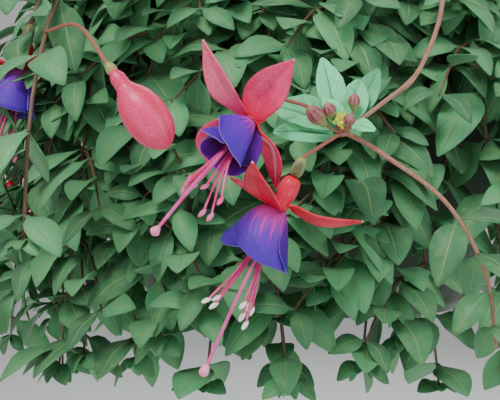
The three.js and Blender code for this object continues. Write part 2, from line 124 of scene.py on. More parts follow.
class LeafSettings(PropertyGroup):
    thickness: length("Thickness", "Thickness of a leaf", 0.35)
    size: length("Size", "Length of a full-grown leaf", 38)
    stem_radius: length("Stem radius", "Radius of a shoot near the soil", 1.3)
    pale: colour("Pale green", "Colour of the young leaves at the spray's knot", (0.15, 0.71, 0.36))
    green: colour("Green", "Colour of the full-grown leaves", (0.074, 0.285, 0.12))


# ---- Shapes ----


def vec(*values):
    """A place or direction given in millimetres."""
    return Vector(values) * MM


def smooth(low, high, value):
    part = min(1, max(0, (value - low) / (high - low)))
    return part * part * (3 - 2 * part)


def spoke_at(azimuth):
    """A level direction of length 1."""
    return Vector((cos(radians(azimuth)), sin(radians(azimuth)), 0))


def outward_at(point):
    """The level direction from the pot's axis to a point."""
    return Vector((point.x, point.y, 0)).normalized()


def fit(item, **values):
    """Give an item several of its values, and hand it back."""
    for key, value in values.items():
        setattr(item, key, value)
    return item


@contextmanager
def new_piece(name, finishes, slot, nodes="", thickness=0, backs=0, bevel=None):
    """Open a mesh for shapes, then make it a piece of the object that rides on its one body.

    Finishes and nodes are names with spaces between them. A thin piece is given its thickness, and its back
    may take the finish that comes backs places later. A bevel has a width and the least angle it rounds.
    """
    bm = bmesh.new()
    bm.loops.layers.uv.new("UVMap")
    bm.verts.layers.float.new("tint")
    yield bm
    mesh = bpy.data.meshes.new(name)
    bm.to_mesh(mesh)
    bm.free()
    for finish in finishes.split():
        mesh.materials.append(finish_of(finish))
    mesh.shade_smooth()
    piece = bpy.data.objects.new(name, mesh)
    bpy.context.scene.collection.objects.link(piece)
    if thickness:
        solidify = piece.modifiers.new("Thickness", "SOLIDIFY")
        fit(solidify, thickness=thickness * MM, offset=0, material_offset=backs)
    if bevel:
        width, angle = bevel
        edges = piece.modifiers.new("Edges", "BEVEL")
        fit(edges, width=width * MM, segments=3, limit_method="ANGLE", angle_limit=radians(angle), harden_normals=True)
    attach(piece, "root")
    nodes = nodes.split()
    if nodes:
        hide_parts(*nodes)


class Path:
    """A smooth curve through its points, walked at an even pace."""

    def __init__(self, points, per_span=12):
        ends = [2 * points[0] - points[1], *points, 2 * points[-1] - points[-2]]
        self.points = []
        for before, start, end, after in zip(ends, ends[1:], ends[2:], ends[3:]):
            handles = start + (end - before) / 6, end - (after - start) / 6
            self.points += interpolate_bezier(start, *handles, end, per_span)[:-1]
        self.points.append(points[-1])
        self.run = [0]
        for start, end in zip(self.points, self.points[1:]):
            self.run.append(self.run[-1] + (end - start).length)

    def locate(self, part):
        goal = part * self.run[-1]
        i = min(bisect_right(self.run, goal), len(self.run) - 1) - 1
        return i, (goal - self.run[i]) / (self.run[i + 1] - self.run[i])

    def at(self, part):
        i, rest = self.locate(part)
        return self.points[i].lerp(self.points[i + 1], rest)

    def tangent(self, part):
        i, rest = self.locate(part)
        here = self.points[i + 1] - self.points[i]
        ahead = self.points[min(i + 2, len(self.points) - 1)] - self.points[i + 1]
        return (here.normalized().lerp(ahead.normalized(), rest) if ahead.length else here).normalized()


def bend_grid(bm, across, along, place, tint=0.5):
    """Lay a grid where place(u, v) says, with u from -1 to 1 across it and v from 0 to 1 along it."""
    made = bmesh.ops.create_grid(bm, x_segments=across, y_segments=along, size=0.5, calc_uvs=True)
    layer = bm.verts.layers.float["tint"]
    for vert in made["verts"]:
        vert[layer] = tint
        vert.co = place(2 * vert.co.x, vert.co.y + 0.5)
    return made["verts"]


def sweep(bm, path, radius, sides, steps, material=0):
    """A round closed stalk along a path; radius is a number or a function of part and angle."""
    rows = []
    side = path.tangent(0).orthogonal().normalized()
    for i in range(steps - 1):
        part = i / (steps - 2)
        tangent = path.tangent(part)
        side = (side - tangent * side.dot(tangent)).normalized()
        rows.append((path.at(part), side.copy(), tangent.cross(side)))

    def place(u, v):
        row = round(v * steps)
        centre, across, over = rows[min(max(row - 1, 0), steps - 2)]
        if row in (0, steps):
            return centre
        part = (row - 1) / (steps - 2)
        angle = pi * u
        reach = radius(part, angle) if callable(radius) else radius
        return centre + (across * cos(angle) + over * sin(angle)) * reach

    verts = bend_grid(bm, sides, steps, place)
    for face in {face for vert in verts for face in vert.link_faces}:
        face.material_index = material
    bmesh.ops.remove_doubles(bm, verts=verts, dist=1e-7)


def curve(stops):
    """A smooth function through (part, value) stops, where a value is a number or a Vector."""
    parts, values = zip(*stops)
    last = len(stops) - 1
    slopes = []
    for i in range(last + 1):
        before, after = max(i - 1, 0), min(i + 1, last)
        slopes.append((values[after] - values[before]) * (1 / (parts[after] - parts[before])))

    def value(part):
        i = min(max(bisect_right(parts, part) - 1, 0), last - 1)
        gap = parts[i + 1] - parts[i]
        t = min(1, max(0, (part - parts[i]) / gap))
        blend_in = t * t * (3 - 2 * t)
        leaving = t * (1 - t) * (1 - t) * gap
        arriving = t * t * (t - 1) * gap
        mixed = values[i] * (1 - blend_in) + values[i + 1] * blend_in
        return mixed + slopes[i] * leaving + slopes[i + 1] * arriving

    return value


# ---- Leaves and stems ----


def leaf_outline(v, stalk):
    blade = max(0, (v - stalk) / (1 - stalk))
    return sin(pi * blade ** 0.85) ** 0.75 * (1 - 0.3 * blade ** 3)


def shape_leaf(bm, base, tip, width, facing, fold, sag=0.12, stalk=0.12, across=2, along=8, teeth=0,
               tint=0.5, curl=0.0):
    """One leaf from the base of its stalk to its tip, folded along the midrib and arched along its length."""
    reach = (tip - base).length
    middle = base.lerp(tip, 0.5) + facing * sag * reach
    path = Path([base, middle, tip - facing * curl * reach], 6)
    half_stalk = 0.5 * MM

    def place(u, v):
        tangent = path.tangent(v)
        side = tangent.cross(facing).normalized()
        upward = side.cross(tangent)
        half = half_stalk + width / 2 * leaf_outline(v, stalk)
        if teeth and abs(u) > 0.99:
            half *= 1 + 0.05 * ((v * teeth) % 1)
        quilt = 0.16 * MM * sin(v * 38 - abs(u) * 9) * min(1, 3 * abs(u)) if teeth else 0
        wave = 0.06 * half * sin(9 * v + 2.5 * u + 20 * tint)
        lift = half * (fold * abs(u) - 0.12 * u * u) + wave * abs(u) + quilt * smooth(stalk, 0.4, v)
        return path.at(v) + side * u * half + upward * lift

    bend_grid(bm, across, along, place, tint)


def clear_of_pot(point, room=6 * MM):
    """Push a point out of the pot's wall, sideways."""
    part = min(1, max(0, (point.z - POT_LOW[2]) / (POT_HIGH[2] - POT_LOW[2])))
    least = POT_FOOT + part * POT_FLARE + room
    flat = Vector((point.x, point.y, 0))
    if POT_LOW[2] - room < point.z < POT_HIGH[2] + room and flat.length < least:
        return flat.normalized() * least + UP * point.z
    return point


def keep_inside(point, room=3 * MM, below=11 * MM):
    """Hold a point within the object's box, with a little room round it and below it."""
    (left, front, bottom), high = CAD_BOX
    low = (left - room, front - room, bottom - below)
    return Vector(min(max(value, low[axis]), high[axis] + room) for axis, value in enumerate(point))


def leaf_pair(bm, centre, tangent, size, turn, dice, clearance=True):
    """Two opposite leaves at one knot of a shoot, looking up and away from the pot."""
    outward = outward_at(centre)
    level = UP.cross(outward)
    across = (level - tangent * level.dot(tangent)).normalized()
    over = tangent.cross(across)
    for side in (-1, 1):
        away = (across * cos(turn) + over * sin(turn)) * side
        reach = away + tangent * dice.uniform(0.25, 0.7) + outward * dice.uniform(0.1, 0.5)
        reach = (reach - UP * dice.uniform(0.1, 0.5)).normalized() * size * dice.uniform(0.8, 1.1)
        facing = (outward * dice.uniform(0.5, 1.1) + UP * dice.uniform(0.5, 1.2) + away * 0.2).normalized()
        tip = centre + reach
        if clearance:
            tip = clear_of_pot(tip)
        shape_leaf(
            bm, centre, keep_inside(tip), size * dice.uniform(0.42, 0.52), facing,
            fold=dice.uniform(0.1, 0.35), sag=dice.uniform(0.05, 0.16), curl=dice.uniform(0, 0.12),
            tint=dice.random(),
        )


def leafy_shoot(bm, path, size, dice, start=0.18, knots=9, radius=1.3, twigs=True):
    """A shoot with leaf pairs, short side twigs and a rosette of young leaves at its tip."""
    sweep(bm, path, lambda part, _: radius * MM * (1 - 0.55 * part), 5, 20 if twigs else 7, material=1)
    for i in range(knots):
        part = start + (0.97 - start) * i / (knots - 1)
        centre, tangent = path.at(part), path.tangent(part)
        grown = size * MM * (1 - 0.35 * part) * dice.uniform(0.85, 1.1)
        leaf_pair(bm, centre, tangent, grown, pi / 2 * (i % 2) + dice.uniform(-0.3, 0.3), dice)
        if twigs and 1 <= i <= knots - 3 and i % 2:
            outward = outward_at(centre)
            side = UP.cross(outward) * dice.choice((-1, 1))
            ahead = (side * 0.8 + outward * 0.35 + tangent * 0.6 + UP * 0.3).normalized()
            run = dice.uniform(30, 48) * MM
            end = keep_inside(clear_of_pot(centre + ahead * run - UP * 0.35 * run, 14 * MM))
            twig = Path([centre, clear_of_pot(centre + ahead * 0.5 * run, 10 * MM), end], 8)
            leafy_shoot(bm, twig, 0.72 * size, dice, 0.35, 3, 0.75 * radius, twigs=False)
    if twigs:
        for i in range(3):
            leaf_pair(bm, path.at(1), path.tangent(1), size * MM * (0.34 - 0.07 * i), 1.1 * i, dice)


# ---- Flowers ----


class Bloom:
    """Where one open flower stands: its base, its axis and the two directions across it."""

    def __init__(self, base, axis):
        self.base = base
        self.axis = axis.normalized()
        turn = UP.rotation_difference(self.axis)
        self.right = turn @ Vector((1, 0, 0))
        self.over = turn @ Vector((0, 1, 0))
        self.front = self.angle_of(FRONT)

    def angle_of(self, direction):
        return atan2(direction.dot(self.over), direction.dot(self.right))

    def at(self, angle, radius, height):
        spoke = self.right * cos(angle) + self.over * sin(angle)
        return self.base + (spoke * radius + self.axis * height) * MM


def shape_ovary(bm, bloom, flower, sides):
    end = -flower.tube_length - 0.1
    path = Path([bloom.at(0, 0, end - flower.ovary_length), bloom.at(0, 0, end)])
    shape = curve([(0, 1.0), (0.1, 1.8), (0.3, 2.45), (0.6, 2.7), (0.84, 2.45), (0.95, 2.0), (1, 1.5)])
    sweep(bm, path, lambda part, angle: shape(part) * MM * (1 + 0.04 * cos(4 * angle)), sides, 18)


def shape_tube(bm, bloom, flower, sides):
    """The red tube: a narrow neck that swells, then draws in to the mouth and turns inwards."""
    full, mouth, run = flower.tube_radius, flower.mouth_radius, flower.tube_length
    rows = [
        (-run, 0), (-run, 1.2), (-0.98 * run, 2.0), (-0.92 * run, 3.0), (-0.83 * run, 3.6),
        (-0.71 * run, 0.96 * full), (-0.58 * run, full), (-0.45 * run, 0.98 * full), (-0.33 * run, 0.89 * full),
        (-0.21 * run, 0.76 * full), (-0.09 * run, 0.95 * mouth), (0.3, mouth - 0.1),
        (0.7, mouth - 0.5), (0.2, mouth - 1), (-3, mouth - 1.2), (-5.5, mouth - 1.8), (-5.6, 0),
    ]
    steps = len(rows) - 1

    def place(u, v):
        height, radius = rows[round(v * steps)]
        angle = pi * u
        ribs = 1 + 0.03 * cos(8 * angle) * smooth(-run, -0.8 * run, height)
        return bloom.at(angle, radius * ribs, height)

    bmesh.ops.remove_doubles(bm, verts=bend_grid(bm, sides, steps, place), dist=1e-7)


SEPAL_OUTLINE = curve([(0, 0.7), (0.16, 0.84), (0.38, 1), (0.6, 0.85), (0.8, 0.47), (0.94, 0.15), (1, 0.03)])


def shape_sepal(bm, bloom, flower, tip, width, cup, bow=Vector(), twist=0.0, lift=0.0, root=45, grip=0.2,
                foot=1.0, across=12, along=32):
    """A fleshy pointed sepal.

    Root is half the angle its base takes up on the tube's mouth, lift raises it, grip is how far the blade
    clings to the mouth before it spreads, and foot how wide its lower part is for its outline.
    """
    radial = (tip - bloom.axis * tip.dot(bloom.axis)).normalized()
    spread = bloom.angle_of(radial)
    reach = tip.length
    start = bloom.at(spread, flower.mouth_radius, -0.2 - lift)
    middle = bloom.base + radial * 0.52 * reach + bloom.axis * (0.04 * reach + 0.42 * tip.dot(bloom.axis)) + bow
    path = Path([start, middle, bloom.base + tip], 24)

    def place(u, v):
        tangent = path.tangent(v)
        side = tangent.cross(bloom.axis).normalized()
        upward = side.cross(tangent)
        side, upward = (
            side * cos(twist) + upward * sin(twist), upward * cos(twist) - side * sin(twist),
        )
        half = width * MM / 2 * SEPAL_OUTLINE(v) * (foot + (1 - foot) * smooth(0, 0.45, v))
        keel = 0.13 * half * (1 - min(1, abs(u) * 3)) * smooth(0.05, 0.3, v)
        ripple = 0.02 * half * sin(14 * v + 3 * u) * abs(u)
        blade = path.at(v) + side * u * half + upward * (cup * half * u * u - keel + ripple)
        ring = bloom.at(spread - u * radians(root), flower.mouth_radius + 0.1, -0.2 - lift + 0.3 * v)
        return ring.lerp(blade, smooth(0, grip, v))

    bend_grid(bm, across, along, place)


def shape_petal(bm, bloom, flower, margin, flare, belly, across, along, bow=0.0, roll=0.4, spread=50, tuck=0.0):
    """A petal from its foot on the tube's mouth to a margin.

    The margin is a list of stops across the petal: part, degrees round from the front, radius and height.
    Flare says how late each side edge widens, bow how far the last edge curves round the flower, spread how
    much of the mouth the foot takes up, and tuck how far the last edge folds inwards.
    """
    edge = curve([(part, Vector(stop)) for part, *stop in margin])
    middle = (margin[0][1] + margin[-1][1]) / 2
    foot = flower.mouth_radius - 1.0

    def place(u, v):
        turn, radius, height = edge(u)
        turn = middle + spread * u + (turn - middle - spread * u) * smooth(0, 0.85, v)
        turn += bow * sin(pi * v) * smooth(0, 1, u)
        late = flare[0] + (flare[1] - flare[0]) * smooth(-1, 1, u)
        radius = foot + (radius - foot) * v ** late + belly * sin(pi * v ** 0.75) * (1 - 0.8 * u * u)
        radius += roll * smooth(0.75, 1, abs(u)) * v + 0.18 * v * v * sin(7 * u + 4 * v + middle)
        radius -= tuck * sin(pi * v) * smooth(0.6, 1, u)
        return bloom.at(bloom.front + radians(turn), radius, 0.6 + height * v)

    bend_grid(bm, across, along, place)


ANTHER_SHAPE = curve([(0, 0.22), (0.3, 0.69), (0.7, 0.68), (1, 0.22)])
STIGMA_SHAPE = curve([(0, 0.6), (0.25, 1.25), (0.65, 1.75), (0.9, 1.25), (1, 0.4)])


def shape_stamens(bm, bloom, tips, stigma, sides=8, steps=22):
    """Eight filaments from one ring, each on its own side of the style, with a two-lobed anther."""
    for tip in tips:
        along = tip.dot(bloom.axis)
        angle = bloom.angle_of(tip - stigma * (along / stigma.dot(bloom.axis)))
        inside = bloom.at(angle, 1.7, 6)
        end = bloom.base + tip
        outward = (inside + bloom.axis * 0.3 * tip.length).lerp(end, 0.25)
        path = Path([bloom.at(angle, 1.8, -3), inside, outward, end])
        sweep(bm, path, lambda part, _: (0.56 - 0.14 * part) * MM, sides, steps)
        run = path.tangent(1)
        spread = run.orthogonal().normalized()
        hang = (run * 0.85 + spread * 0.35).normalized()
        for lobe in (-1, 1):
            middle = end + spread.cross(run) * lobe * 0.34 * MM
            ends = Path([middle - hang * 1.5 * MM, middle + hang * 2.6 * MM])
            sweep(bm, ends, lambda part, _: ANTHER_SHAPE(part) * MM, 8, 8, material=1)


def shape_style(bm, bloom, stigma, sides=10, head_size=1.0):
    """The long style, with a four-lobed stigma at its end."""
    end = bloom.base + stigma
    droop = UP * -0.012 * stigma.length
    path = Path([bloom.at(0, 0, -5), bloom.base.lerp(end, 0.2), bloom.base.lerp(end, 0.6) - droop, end])
    sweep(bm, path, lambda part, _: (0.72 - 0.08 * part) * MM, sides, 30)
    run = path.tangent(1)
    head = Path([end - run * 2.0 * MM * head_size, end + run * 2.4 * MM * head_size])
    lobes = lambda part, angle: STIGMA_SHAPE(part) * MM * head_size * (1 + 0.1 * part * cos(4 * angle))
    sweep(bm, head, lobes, 24, 14, material=1)


# ---- Finishes ----


class Wire:
    """A shader value, which adds nodes when it is used in an expression."""

    def __init__(self, finish, socket):
        self.finish = finish
        self.socket = socket

    def join(self, operation, *others):
        return self.finish.node("ShaderNodeMath", {"operation": operation}, dict(enumerate((self, *others))))

    def __add__(self, other):
        return self.join("ADD", other)

    def __sub__(self, other):
        return self.join("SUBTRACT", other)

    def __mul__(self, other):
        return self.join("MULTIPLY", other)

    __radd__ = __add__

    def bent(self):
        """The value without its sign."""
        return self.join("ABSOLUTE")

    def waves(self):
        """Humps that touch zero at every half turn of the value."""
        return self.join("SINE").bent()

    def band(self, low, high, start=0.0, end=1.0):
        """From start to end, smoothly, while the value goes from low to high."""
        sockets = dict(enumerate((self, low, high, start, end)))
        return self.finish.node("ShaderNodeMapRange", {"interpolation_type": "SMOOTHSTEP"}, sockets)


class Finish:
    """A material on one Principled shader, whose sockets take constants or patterns.

    Glow is how much light gets under the surface, and how far its red, green and blue go.
    """

    def __init__(self, name, glow=None, **constants):
        self.material = bpy.data.materials.new(name)
        self.material.use_nodes = True
        self.tree = self.material.node_tree
        self.shader = self.tree.nodes["Principled BSDF"]
        if glow:
            constants |= {"subsurface_weight": glow[0], "subsurface_radius": glow[1:], "subsurface_scale": 1.0}
        for socket, value in constants.items():
            self.shader.inputs[socket.replace("_", " ").title().replace("Ior", "IOR")].default_value = value

    def node(self, kind, settings=None, sockets=None, output=0):
        node = fit(self.tree.nodes.new(kind), **(settings or {}))
        for key, value in (sockets or {}).items():
            if isinstance(value, Wire):
                self.tree.links.new(value.socket, node.inputs[key])
            else:
                node.inputs[key].default_value = value
        return Wire(self, node.outputs[output])

    @cached_property
    def place(self):
        return self.node("ShaderNodeTexCoord", output=3)

    @cached_property
    def grid(self):
        """The parts across and along a piece, from 0 to 1."""
        across = self.node("ShaderNodeSeparateXYZ", None, {0: self.node("ShaderNodeUVMap", {"uv_map": "UVMap"})})
        return across, Wire(self, across.socket.node.outputs[1])

    def noise(self, scale, detail=3.0, roughness=0.5, place=None):
        sockets = {"Vector": place or self.place, "Scale": scale, "Detail": detail, "Roughness": roughness}
        return self.node("ShaderNodeTexNoise", {"noise_dimensions": "3D"}, sockets)

    def streaks(self, by_across, by_along, scale=1.0, detail=3.0):
        """Noise with its own scale across and along a piece."""
        across, along = self.grid
        sockets = {0: across * by_across, 1: along * by_along}
        return self.noise(scale, detail, place=self.node("ShaderNodeCombineXYZ", None, sockets))

    def coat(self, shade, layers, relief, roughness=None):
        """Lay (part, shade) layers over a shade, with a relief of (height, strength, distance)."""
        shade = (*shade, 1)
        for part, above in layers:
            shade = self.node("ShaderNodeMix", {"data_type": "RGBA"}, {0: part, 6: shade, 7: (*above, 1)}, 2)
        feeds = {"Base Color": shade, "Roughness": roughness}
        feeds["Normal"] = self.node("ShaderNodeBump", None, dict(zip(("Height", "Strength", "Distance"), relief)))
        for socket, wire in feeds.items():
            if wire:
                self.tree.links.new(wire.socket, self.shader.inputs[socket])
        return self.material


def shade(base, factor):
    return tuple(min(1, value * factor) for value in base)


def blend(first, second, part):
    return tuple(a + (b - a) * part for a, b in zip(first, second))


def petal_finish(violet, magenta, rim_highlight=0.5, crease_shade=0.0, blue=0.5, flush=0.34, shine=0.3, *, name):
    """Satin violet that drifts from lavender to blue, with magenta rays from the tube and a painted highlight along
    the rim.

    Crease is painted shade that darkens the fold along its last edge, and flush is how far the magenta reaches from
    the foot.
    """
    finish = Finish(name, (0.08, 0.002, 0.0008, 0.003), roughness=0.5, specular_ior_level=shine)
    across, along = finish.grid
    drift, streaks = finish.streaks(5, 2.5, 1.3, 4), finish.streaks(60, 3)
    fan = (across - 0.5) * (1 + along * 0.15) * 46 + drift * 4
    vein = fan.waves().band(0.0, 0.4, 1, 0)
    ray = (fan * 0.37 + 0.6).waves().band(0.0, 0.75, 1, 0)
    foot = (along + (streaks - 0.5) * 0.4 - ray * 0.2).band(0.0, flush, 1, 0)
    # The rim mask marks a painted highlight along the petal's side edges and margin.
    rim = (across - 0.5).bent().band(0.49, 0.5) + along.band(0.985, 1.0)
    return finish.coat(blend(violet, (0.03, 0.015, 0.5), blue), [
        (drift.band(0.32, 0.68), shade(violet, 1.25)),
        (streaks * 0.3, blend(violet, magenta, 0.35)),
        (along.band(0.4, 1.0) * 0.75, blend(violet, (0.016, 0.01, 0.36), 1.3 * blue)),
        (foot * 0.85, blend(magenta, (0.8, 0.3, 0.55), 0.15)),
        (ray * (along + (streaks - 0.5) * 0.3).band(0.0, flush * 1.8, 0.34, 0), magenta),
        (vein * along.band(0.12, 0.6, 0.36, 0.03), magenta),
        # Painted shade in the fold along the last edge.
        (across.band(0.8, 0.94) * crease_shade, shade(violet, 0.08)),
        (rim * rim_highlight, blend(violet, (0.6, 0.5, 0.9), 0.6)),
    ], (vein * 0.6 + streaks * 0.5, 0.35, 0.0006))


def lining_finish(violet, *, name):
    """The inside of a petal: painted shade makes it almost black deep in the flower, purple towards the rim, with a
    painted highlight along the rim itself.
    """
    finish = Finish(name, (0.08, 0.002, 0.0008, 0.003), roughness=0.55, specular_ior_level=0.3)
    along, streaks = finish.grid[1], finish.streaks(50, 3)
    near = blend(violet, (0.23, 0.006, 0.46), 0.6)
    # Painted shade: deep in the flower the lining is almost black; the pale band at the very rim is a painted
    # highlight.
    deep = blend(shade(near, 0.12), (0.24, 0.03, 0.07), 0.32)
    return finish.coat(deep, [
        ((along + (streaks - 0.5) * 0.3).band(0.5, 0.92), near), (along.band(0.985, 1.0) * 0.35, (0.4, 0.3, 0.8)),
    ], (streaks, 0.35, 0.0006))


def sepal_finish(blade, base, keel=0.0, bloom=0.45, gloss=0.12, *, name):
    """Waxy red with pale mottling, faint lengthwise veins, a fuller red base, a pale tip and a painted highlight along
    the keel.
    """
    finish = Finish(
        name, (0.1, 0.004, 0.001, 0.001), coat_weight=gloss, coat_roughness=0.3, specular_ior_level=0.25,
    )
    across, along = finish.grid
    mottle, cloud, fibre = finish.noise(900, 4, 0.6), finish.noise(140), finish.streaks(34, 2.2)
    vein = ((across - 0.5) * 19).waves().band(0, 0.3, 1, 0)
    return finish.coat(shade(blade, 0.8), [
        (cloud.band(0.35, 0.7), blend(blade, (1, 0.35, 0.45), 0.12)),
        (mottle.band(0.5, 0.72) * bloom, blend(blade, (1, 0.5, 0.6), 0.45)),
        ((along + (fibre - 0.5) * 0.3).band(0.02, 0.42, 1, 0), base),
        (vein * 0.16, shade(base, 0.6)),
        # Painted highlight along the keel, as strong as keel says.
        ((across - 0.53).bent().band(0.045, 0.1, keel, 0), (1.0, 0.42, 0.54)),
        (along.band(0.97, 1.0), (0.72, 0.5, 0.3)),
    ], (mottle * 0.35 + fibre * 0.6 + vein * 0.4, 0.35, 0.0005), mottle.band(0.3, 0.8, 0.34, 0.5))


def leaf_finish(green, ribs, quilt=0.5, *, name):
    """Soft green with a midrib, slanting side veins and a shade of its own on each leaf."""
    finish = Finish(name, sheen_weight=0.08, specular_ior_level=0.35)
    across, along = finish.grid
    tint = finish.node("ShaderNodeAttribute", {"attribute_name": "tint"}, None, 2)
    half, patches = (across - 0.5).bent(), finish.noise(160, 4, 0.6)
    rib = half.band(0.012, 0.05, 1, 0)
    slant = (along * 8.0 - half * 5.0 + patches * 0.16) * pi
    vein = slant.waves().band(0.02, 0.2, 1, 0) * half.band(0.47, 0.3)
    return finish.coat(shade(green, 0.62), [
        (tint, shade(green, 1.35)), (patches.band(0.4, 0.75) * 0.5, blend(green, (0.4, 0.5, 0.15), 0.3)),
        (rib * 0.8 + vein * 0.42, ribs),
    ], ((rib + vein * 0.7) * -1.0 + patches * 0.4, quilt, 0.0008), patches.band(0.3, 0.7, 0.42, 0.6))


def stem_finish(low, high, *, name):
    """Thin bark: fine lengthwise streaks and darker specks."""
    finish = Finish(name, roughness=0.5)
    streaks, specks = finish.streaks(14, 40, 1.0, 4), finish.noise(1400, 2)
    layers = [(streaks.band(0.3, 0.7), high), (specks.band(0.6, 0.72) * 0.4, shade(low, 0.5))]
    return finish.coat(low, layers, (streaks + specks * 0.5, 0.3, 0.0003))


def thread_finish(low, high, gloss=0.35, *, name):
    """Filaments, styles, anthers and stigmas: a soft drift between two near colours and a fine grain."""
    finish = Finish(name, (0.15, 0.002, 0.001, 0.001))
    drift, grain = finish.noise(120, 2), finish.noise(2600)
    layers = [((drift * 0.6 + grain * 0.4).band(0.35, 0.65), high)]
    return finish.coat(low, layers, (grain, 0.3, 0.0002), grain.band(0.3, 0.7, gloss, gloss + 0.15))


def bud_finish(base, furrow, tip, stripes, green=(0.12, 0.42), *, name):
    """A closed bud: green at its base, lengthwise stripes between the sepals and a paler tip."""
    finish = Finish(name, coat_weight=0.1, coat_roughness=0.3)
    across, along = finish.grid
    grain = finish.noise(1500)
    stripe = (across * pi * stripes).waves().band(0.0, 0.75, 1, 0)
    return finish.coat(blend(base, tip, 0.25), [
        (stripe, furrow), (along.band(*green, 1, 0), (0.25, 0.32, 0.08)), (along.band(0.75, 1.0) * 0.6, tip),
        (grain.band(0.45, 0.7) * 0.3, blend(base, (1, 0.7, 0.6), 0.4)),
    ], (stripe * -0.5 + grain * 0.4, 0.4, 0.0004), grain.band(0.3, 0.7, 0.35, 0.5))


def plastic_finish(plastic, *, name):
    """Moulded plastic: a fine grain, faint flow marks, dust and dull scuffs."""
    finish = Finish(name)
    grain, scuffs, dust = finish.noise(1800, 2), finish.noise(38, 6, 0.7), finish.noise(12, 4)
    return finish.coat(plastic, [
        (dust.band(0.42, 0.75) * 0.55, blend(plastic, (0.16, 0.17, 0.12), 0.5)),
        (scuffs.band(0.56, 0.7) * 0.5, shade(plastic, 2.4)),
    ], (grain * 0.7 + scuffs * 0.3, 0.25, 0.0004), scuffs.band(0.3, 0.7, 0.38, 0.6))


def soil_finish(*, name):
    """Moist compost: dark crumbs, bark fibres and pale grit."""
    finish = Finish(name, roughness=0.95, specular_ior_level=0.2)
    crumbs = finish.noise(320, 8, 0.7)
    fibre, grit = (
        finish.node("ShaderNodeTexVoronoi", None, {"Vector": finish.place, "Scale": scale}) for scale in (420.0, 130.0)
    )
    return finish.coat((0.012, 0.008, 0.005), [
        (crumbs.band(0.35, 0.65), (0.085, 0.05, 0.028)), (fibre.band(0.1, 0.4, 0.5, 0), (0.16, 0.09, 0.045)),
        (grit.band(0.06, 0.12, 0.8, 0), (0.5, 0.48, 0.42)),
    ], (crumbs + fibre * 0.5, 0.9, 0.004))


@cache
def finish_of(name):
    """Each finish is made once, when it is first asked for."""
    scene = bpy.context.scene
    flower, leaf = scene.fuchsia_flower, scene.fuchsia_leaf
    violet, magenta, scarlet, rose = map(tuple, (flower.violet, flower.magenta, flower.scarlet, flower.rose))
    recipes = {
        "violet_petal": partial(petal_finish, violet, magenta),
        "flushed_violet_petal": partial(petal_finish, violet, magenta, flush=0.5),
        # A darker copy of the violet petal for the lower flower's right petal: painted shade.
        "purple_petal": partial(
            petal_finish, blend(violet, (0.05, 0.001, 0.2), 0.9), blend(violet, magenta, 0.4), rim_highlight=0.4,
        ),
        # A darker copy of the violet petal for the upper flower's folded right petal: painted shade, with a painted
        # dark crease.
        "folded_petal": partial(
            petal_finish, blend(violet, (0.12, 0.0, 0.33), 0.94), blend(violet, magenta, 0.3), rim_highlight=0.1,
            crease_shade=0.95, blue=0.08, shine=0.08,
        ),
        "purple_petal_lining": partial(lining_finish, violet),
        "glossy_red_tube": partial(sepal_finish, blend(scarlet, rose, 0.3), scarlet, bloom=0.3, gloss=0.35),
        # The sepals' backs: a brighter copy of the red, painted light for sides that lie in shade, with a painted
        # highlight along the keel.
        "red_sepal_back": partial(sepal_finish, shade(blend(scarlet, rose, 0.8), 1.15), scarlet, keel=1.0),
        "rose_sepal": partial(sepal_finish, rose, blend(scarlet, rose, 0.3), bloom=0.36),
        # A paler copy of the rose sepal for the upper-left sepal: painted light, for this sepal faces away from the
        # key lamp.
        "pale_rose_sepal": partial(sepal_finish, blend(rose, (1, 0.27, 0.42), 0.45), rose, bloom=0.6),
        "scarlet_sepal": partial(sepal_finish, blend(scarlet, rose, 0.2), shade(scarlet, 0.9), bloom=0.16),
        # The young leaves' dark midrib and veins are partly their own veins and partly painted shade in the fold along
        # the midrib.
        "young_leaf": partial(leaf_finish, tuple(leaf.pale), (0.05, 0.27, 0.11)),
        "old_leaf": partial(leaf_finish, tuple(leaf.green), (0.2, 0.34, 0.14)),
        "growing_tip": partial(leaf_finish, (0.68, 0.84, 0.08), (0.9, 0.95, 0.3), quilt=0.3),
        "pink_brown_stem": partial(stem_finish, (0.27, 0.11, 0.07), (0.45, 0.25, 0.175)),
        "brown_stem": partial(stem_finish, (0.085, 0.05, 0.03), (0.2, 0.12, 0.06)),
        "red_brown_pedicel": partial(stem_finish, (0.24, 0.06, 0.04), (0.42, 0.17, 0.11)),
        "olive_ovary": partial(bud_finish, (0.075, 0.105, 0.025), (0.2, 0.27, 0.16), (0.14, 0.13, 0.04), 4),
        # The young buds' paler tip is a painted highlight.
        "young_bud": partial(
            bud_finish, (0.31, 0.045, 0.075), (0.09, 0.014, 0.02), (0.5, 0.24, 0.22), 8, green=(0.2, 0.62),
        ),
        "mature_bud": partial(
            bud_finish, (0.84, 0.03, 0.19), (0.72, 0.01, 0.08), (0.74, 0.015, 0.1), 4, green=(0.1, 0.14),
        ),
        "pink_filament": partial(thread_finish, (0.74, 0.016, 0.19), (0.86, 0.11, 0.37)),
        "mauve_style": partial(thread_finish, (0.66, 0.04, 0.30), (0.80, 0.13, 0.44)),
        "pink_anther": partial(thread_finish, (0.76, 0.06, 0.28), (0.92, 0.24, 0.5), gloss=0.5),
        "cream_anther": partial(thread_finish, (0.9, 0.93, 0.78), (0.98, 1.0, 0.92), gloss=0.7),
        "pale_stigma": partial(thread_finish, (0.86, 0.22, 0.43), (0.96, 0.44, 0.62), gloss=0.3),
        "pot_plastic": partial(plastic_finish, tuple(scene.fuchsia_pot.plastic)),
        "compost": soil_finish,
    }
    return recipes[name](name=name)


# ---- Where the plant's parts lie, in millimetres ----

KNOT = vec(5.6, -214, -339)
SOIL_TOP = -302

SPRAY_STEM = [
    vec(4, -32, SOIL_TOP), vec(24, -80, -256), vec(42, -135, -250), vec(48, -182, -282),
    vec(36, -206, -314), vec(21.5, -212, -327.3), KNOT,
]
SIDE_BRANCH = [
    KNOT, vec(12, -215, -342), vec(21.1, -216, -347.8), vec(44, -222, -366), vec(58, -226, -392),
    vec(62, -227, -420),
]

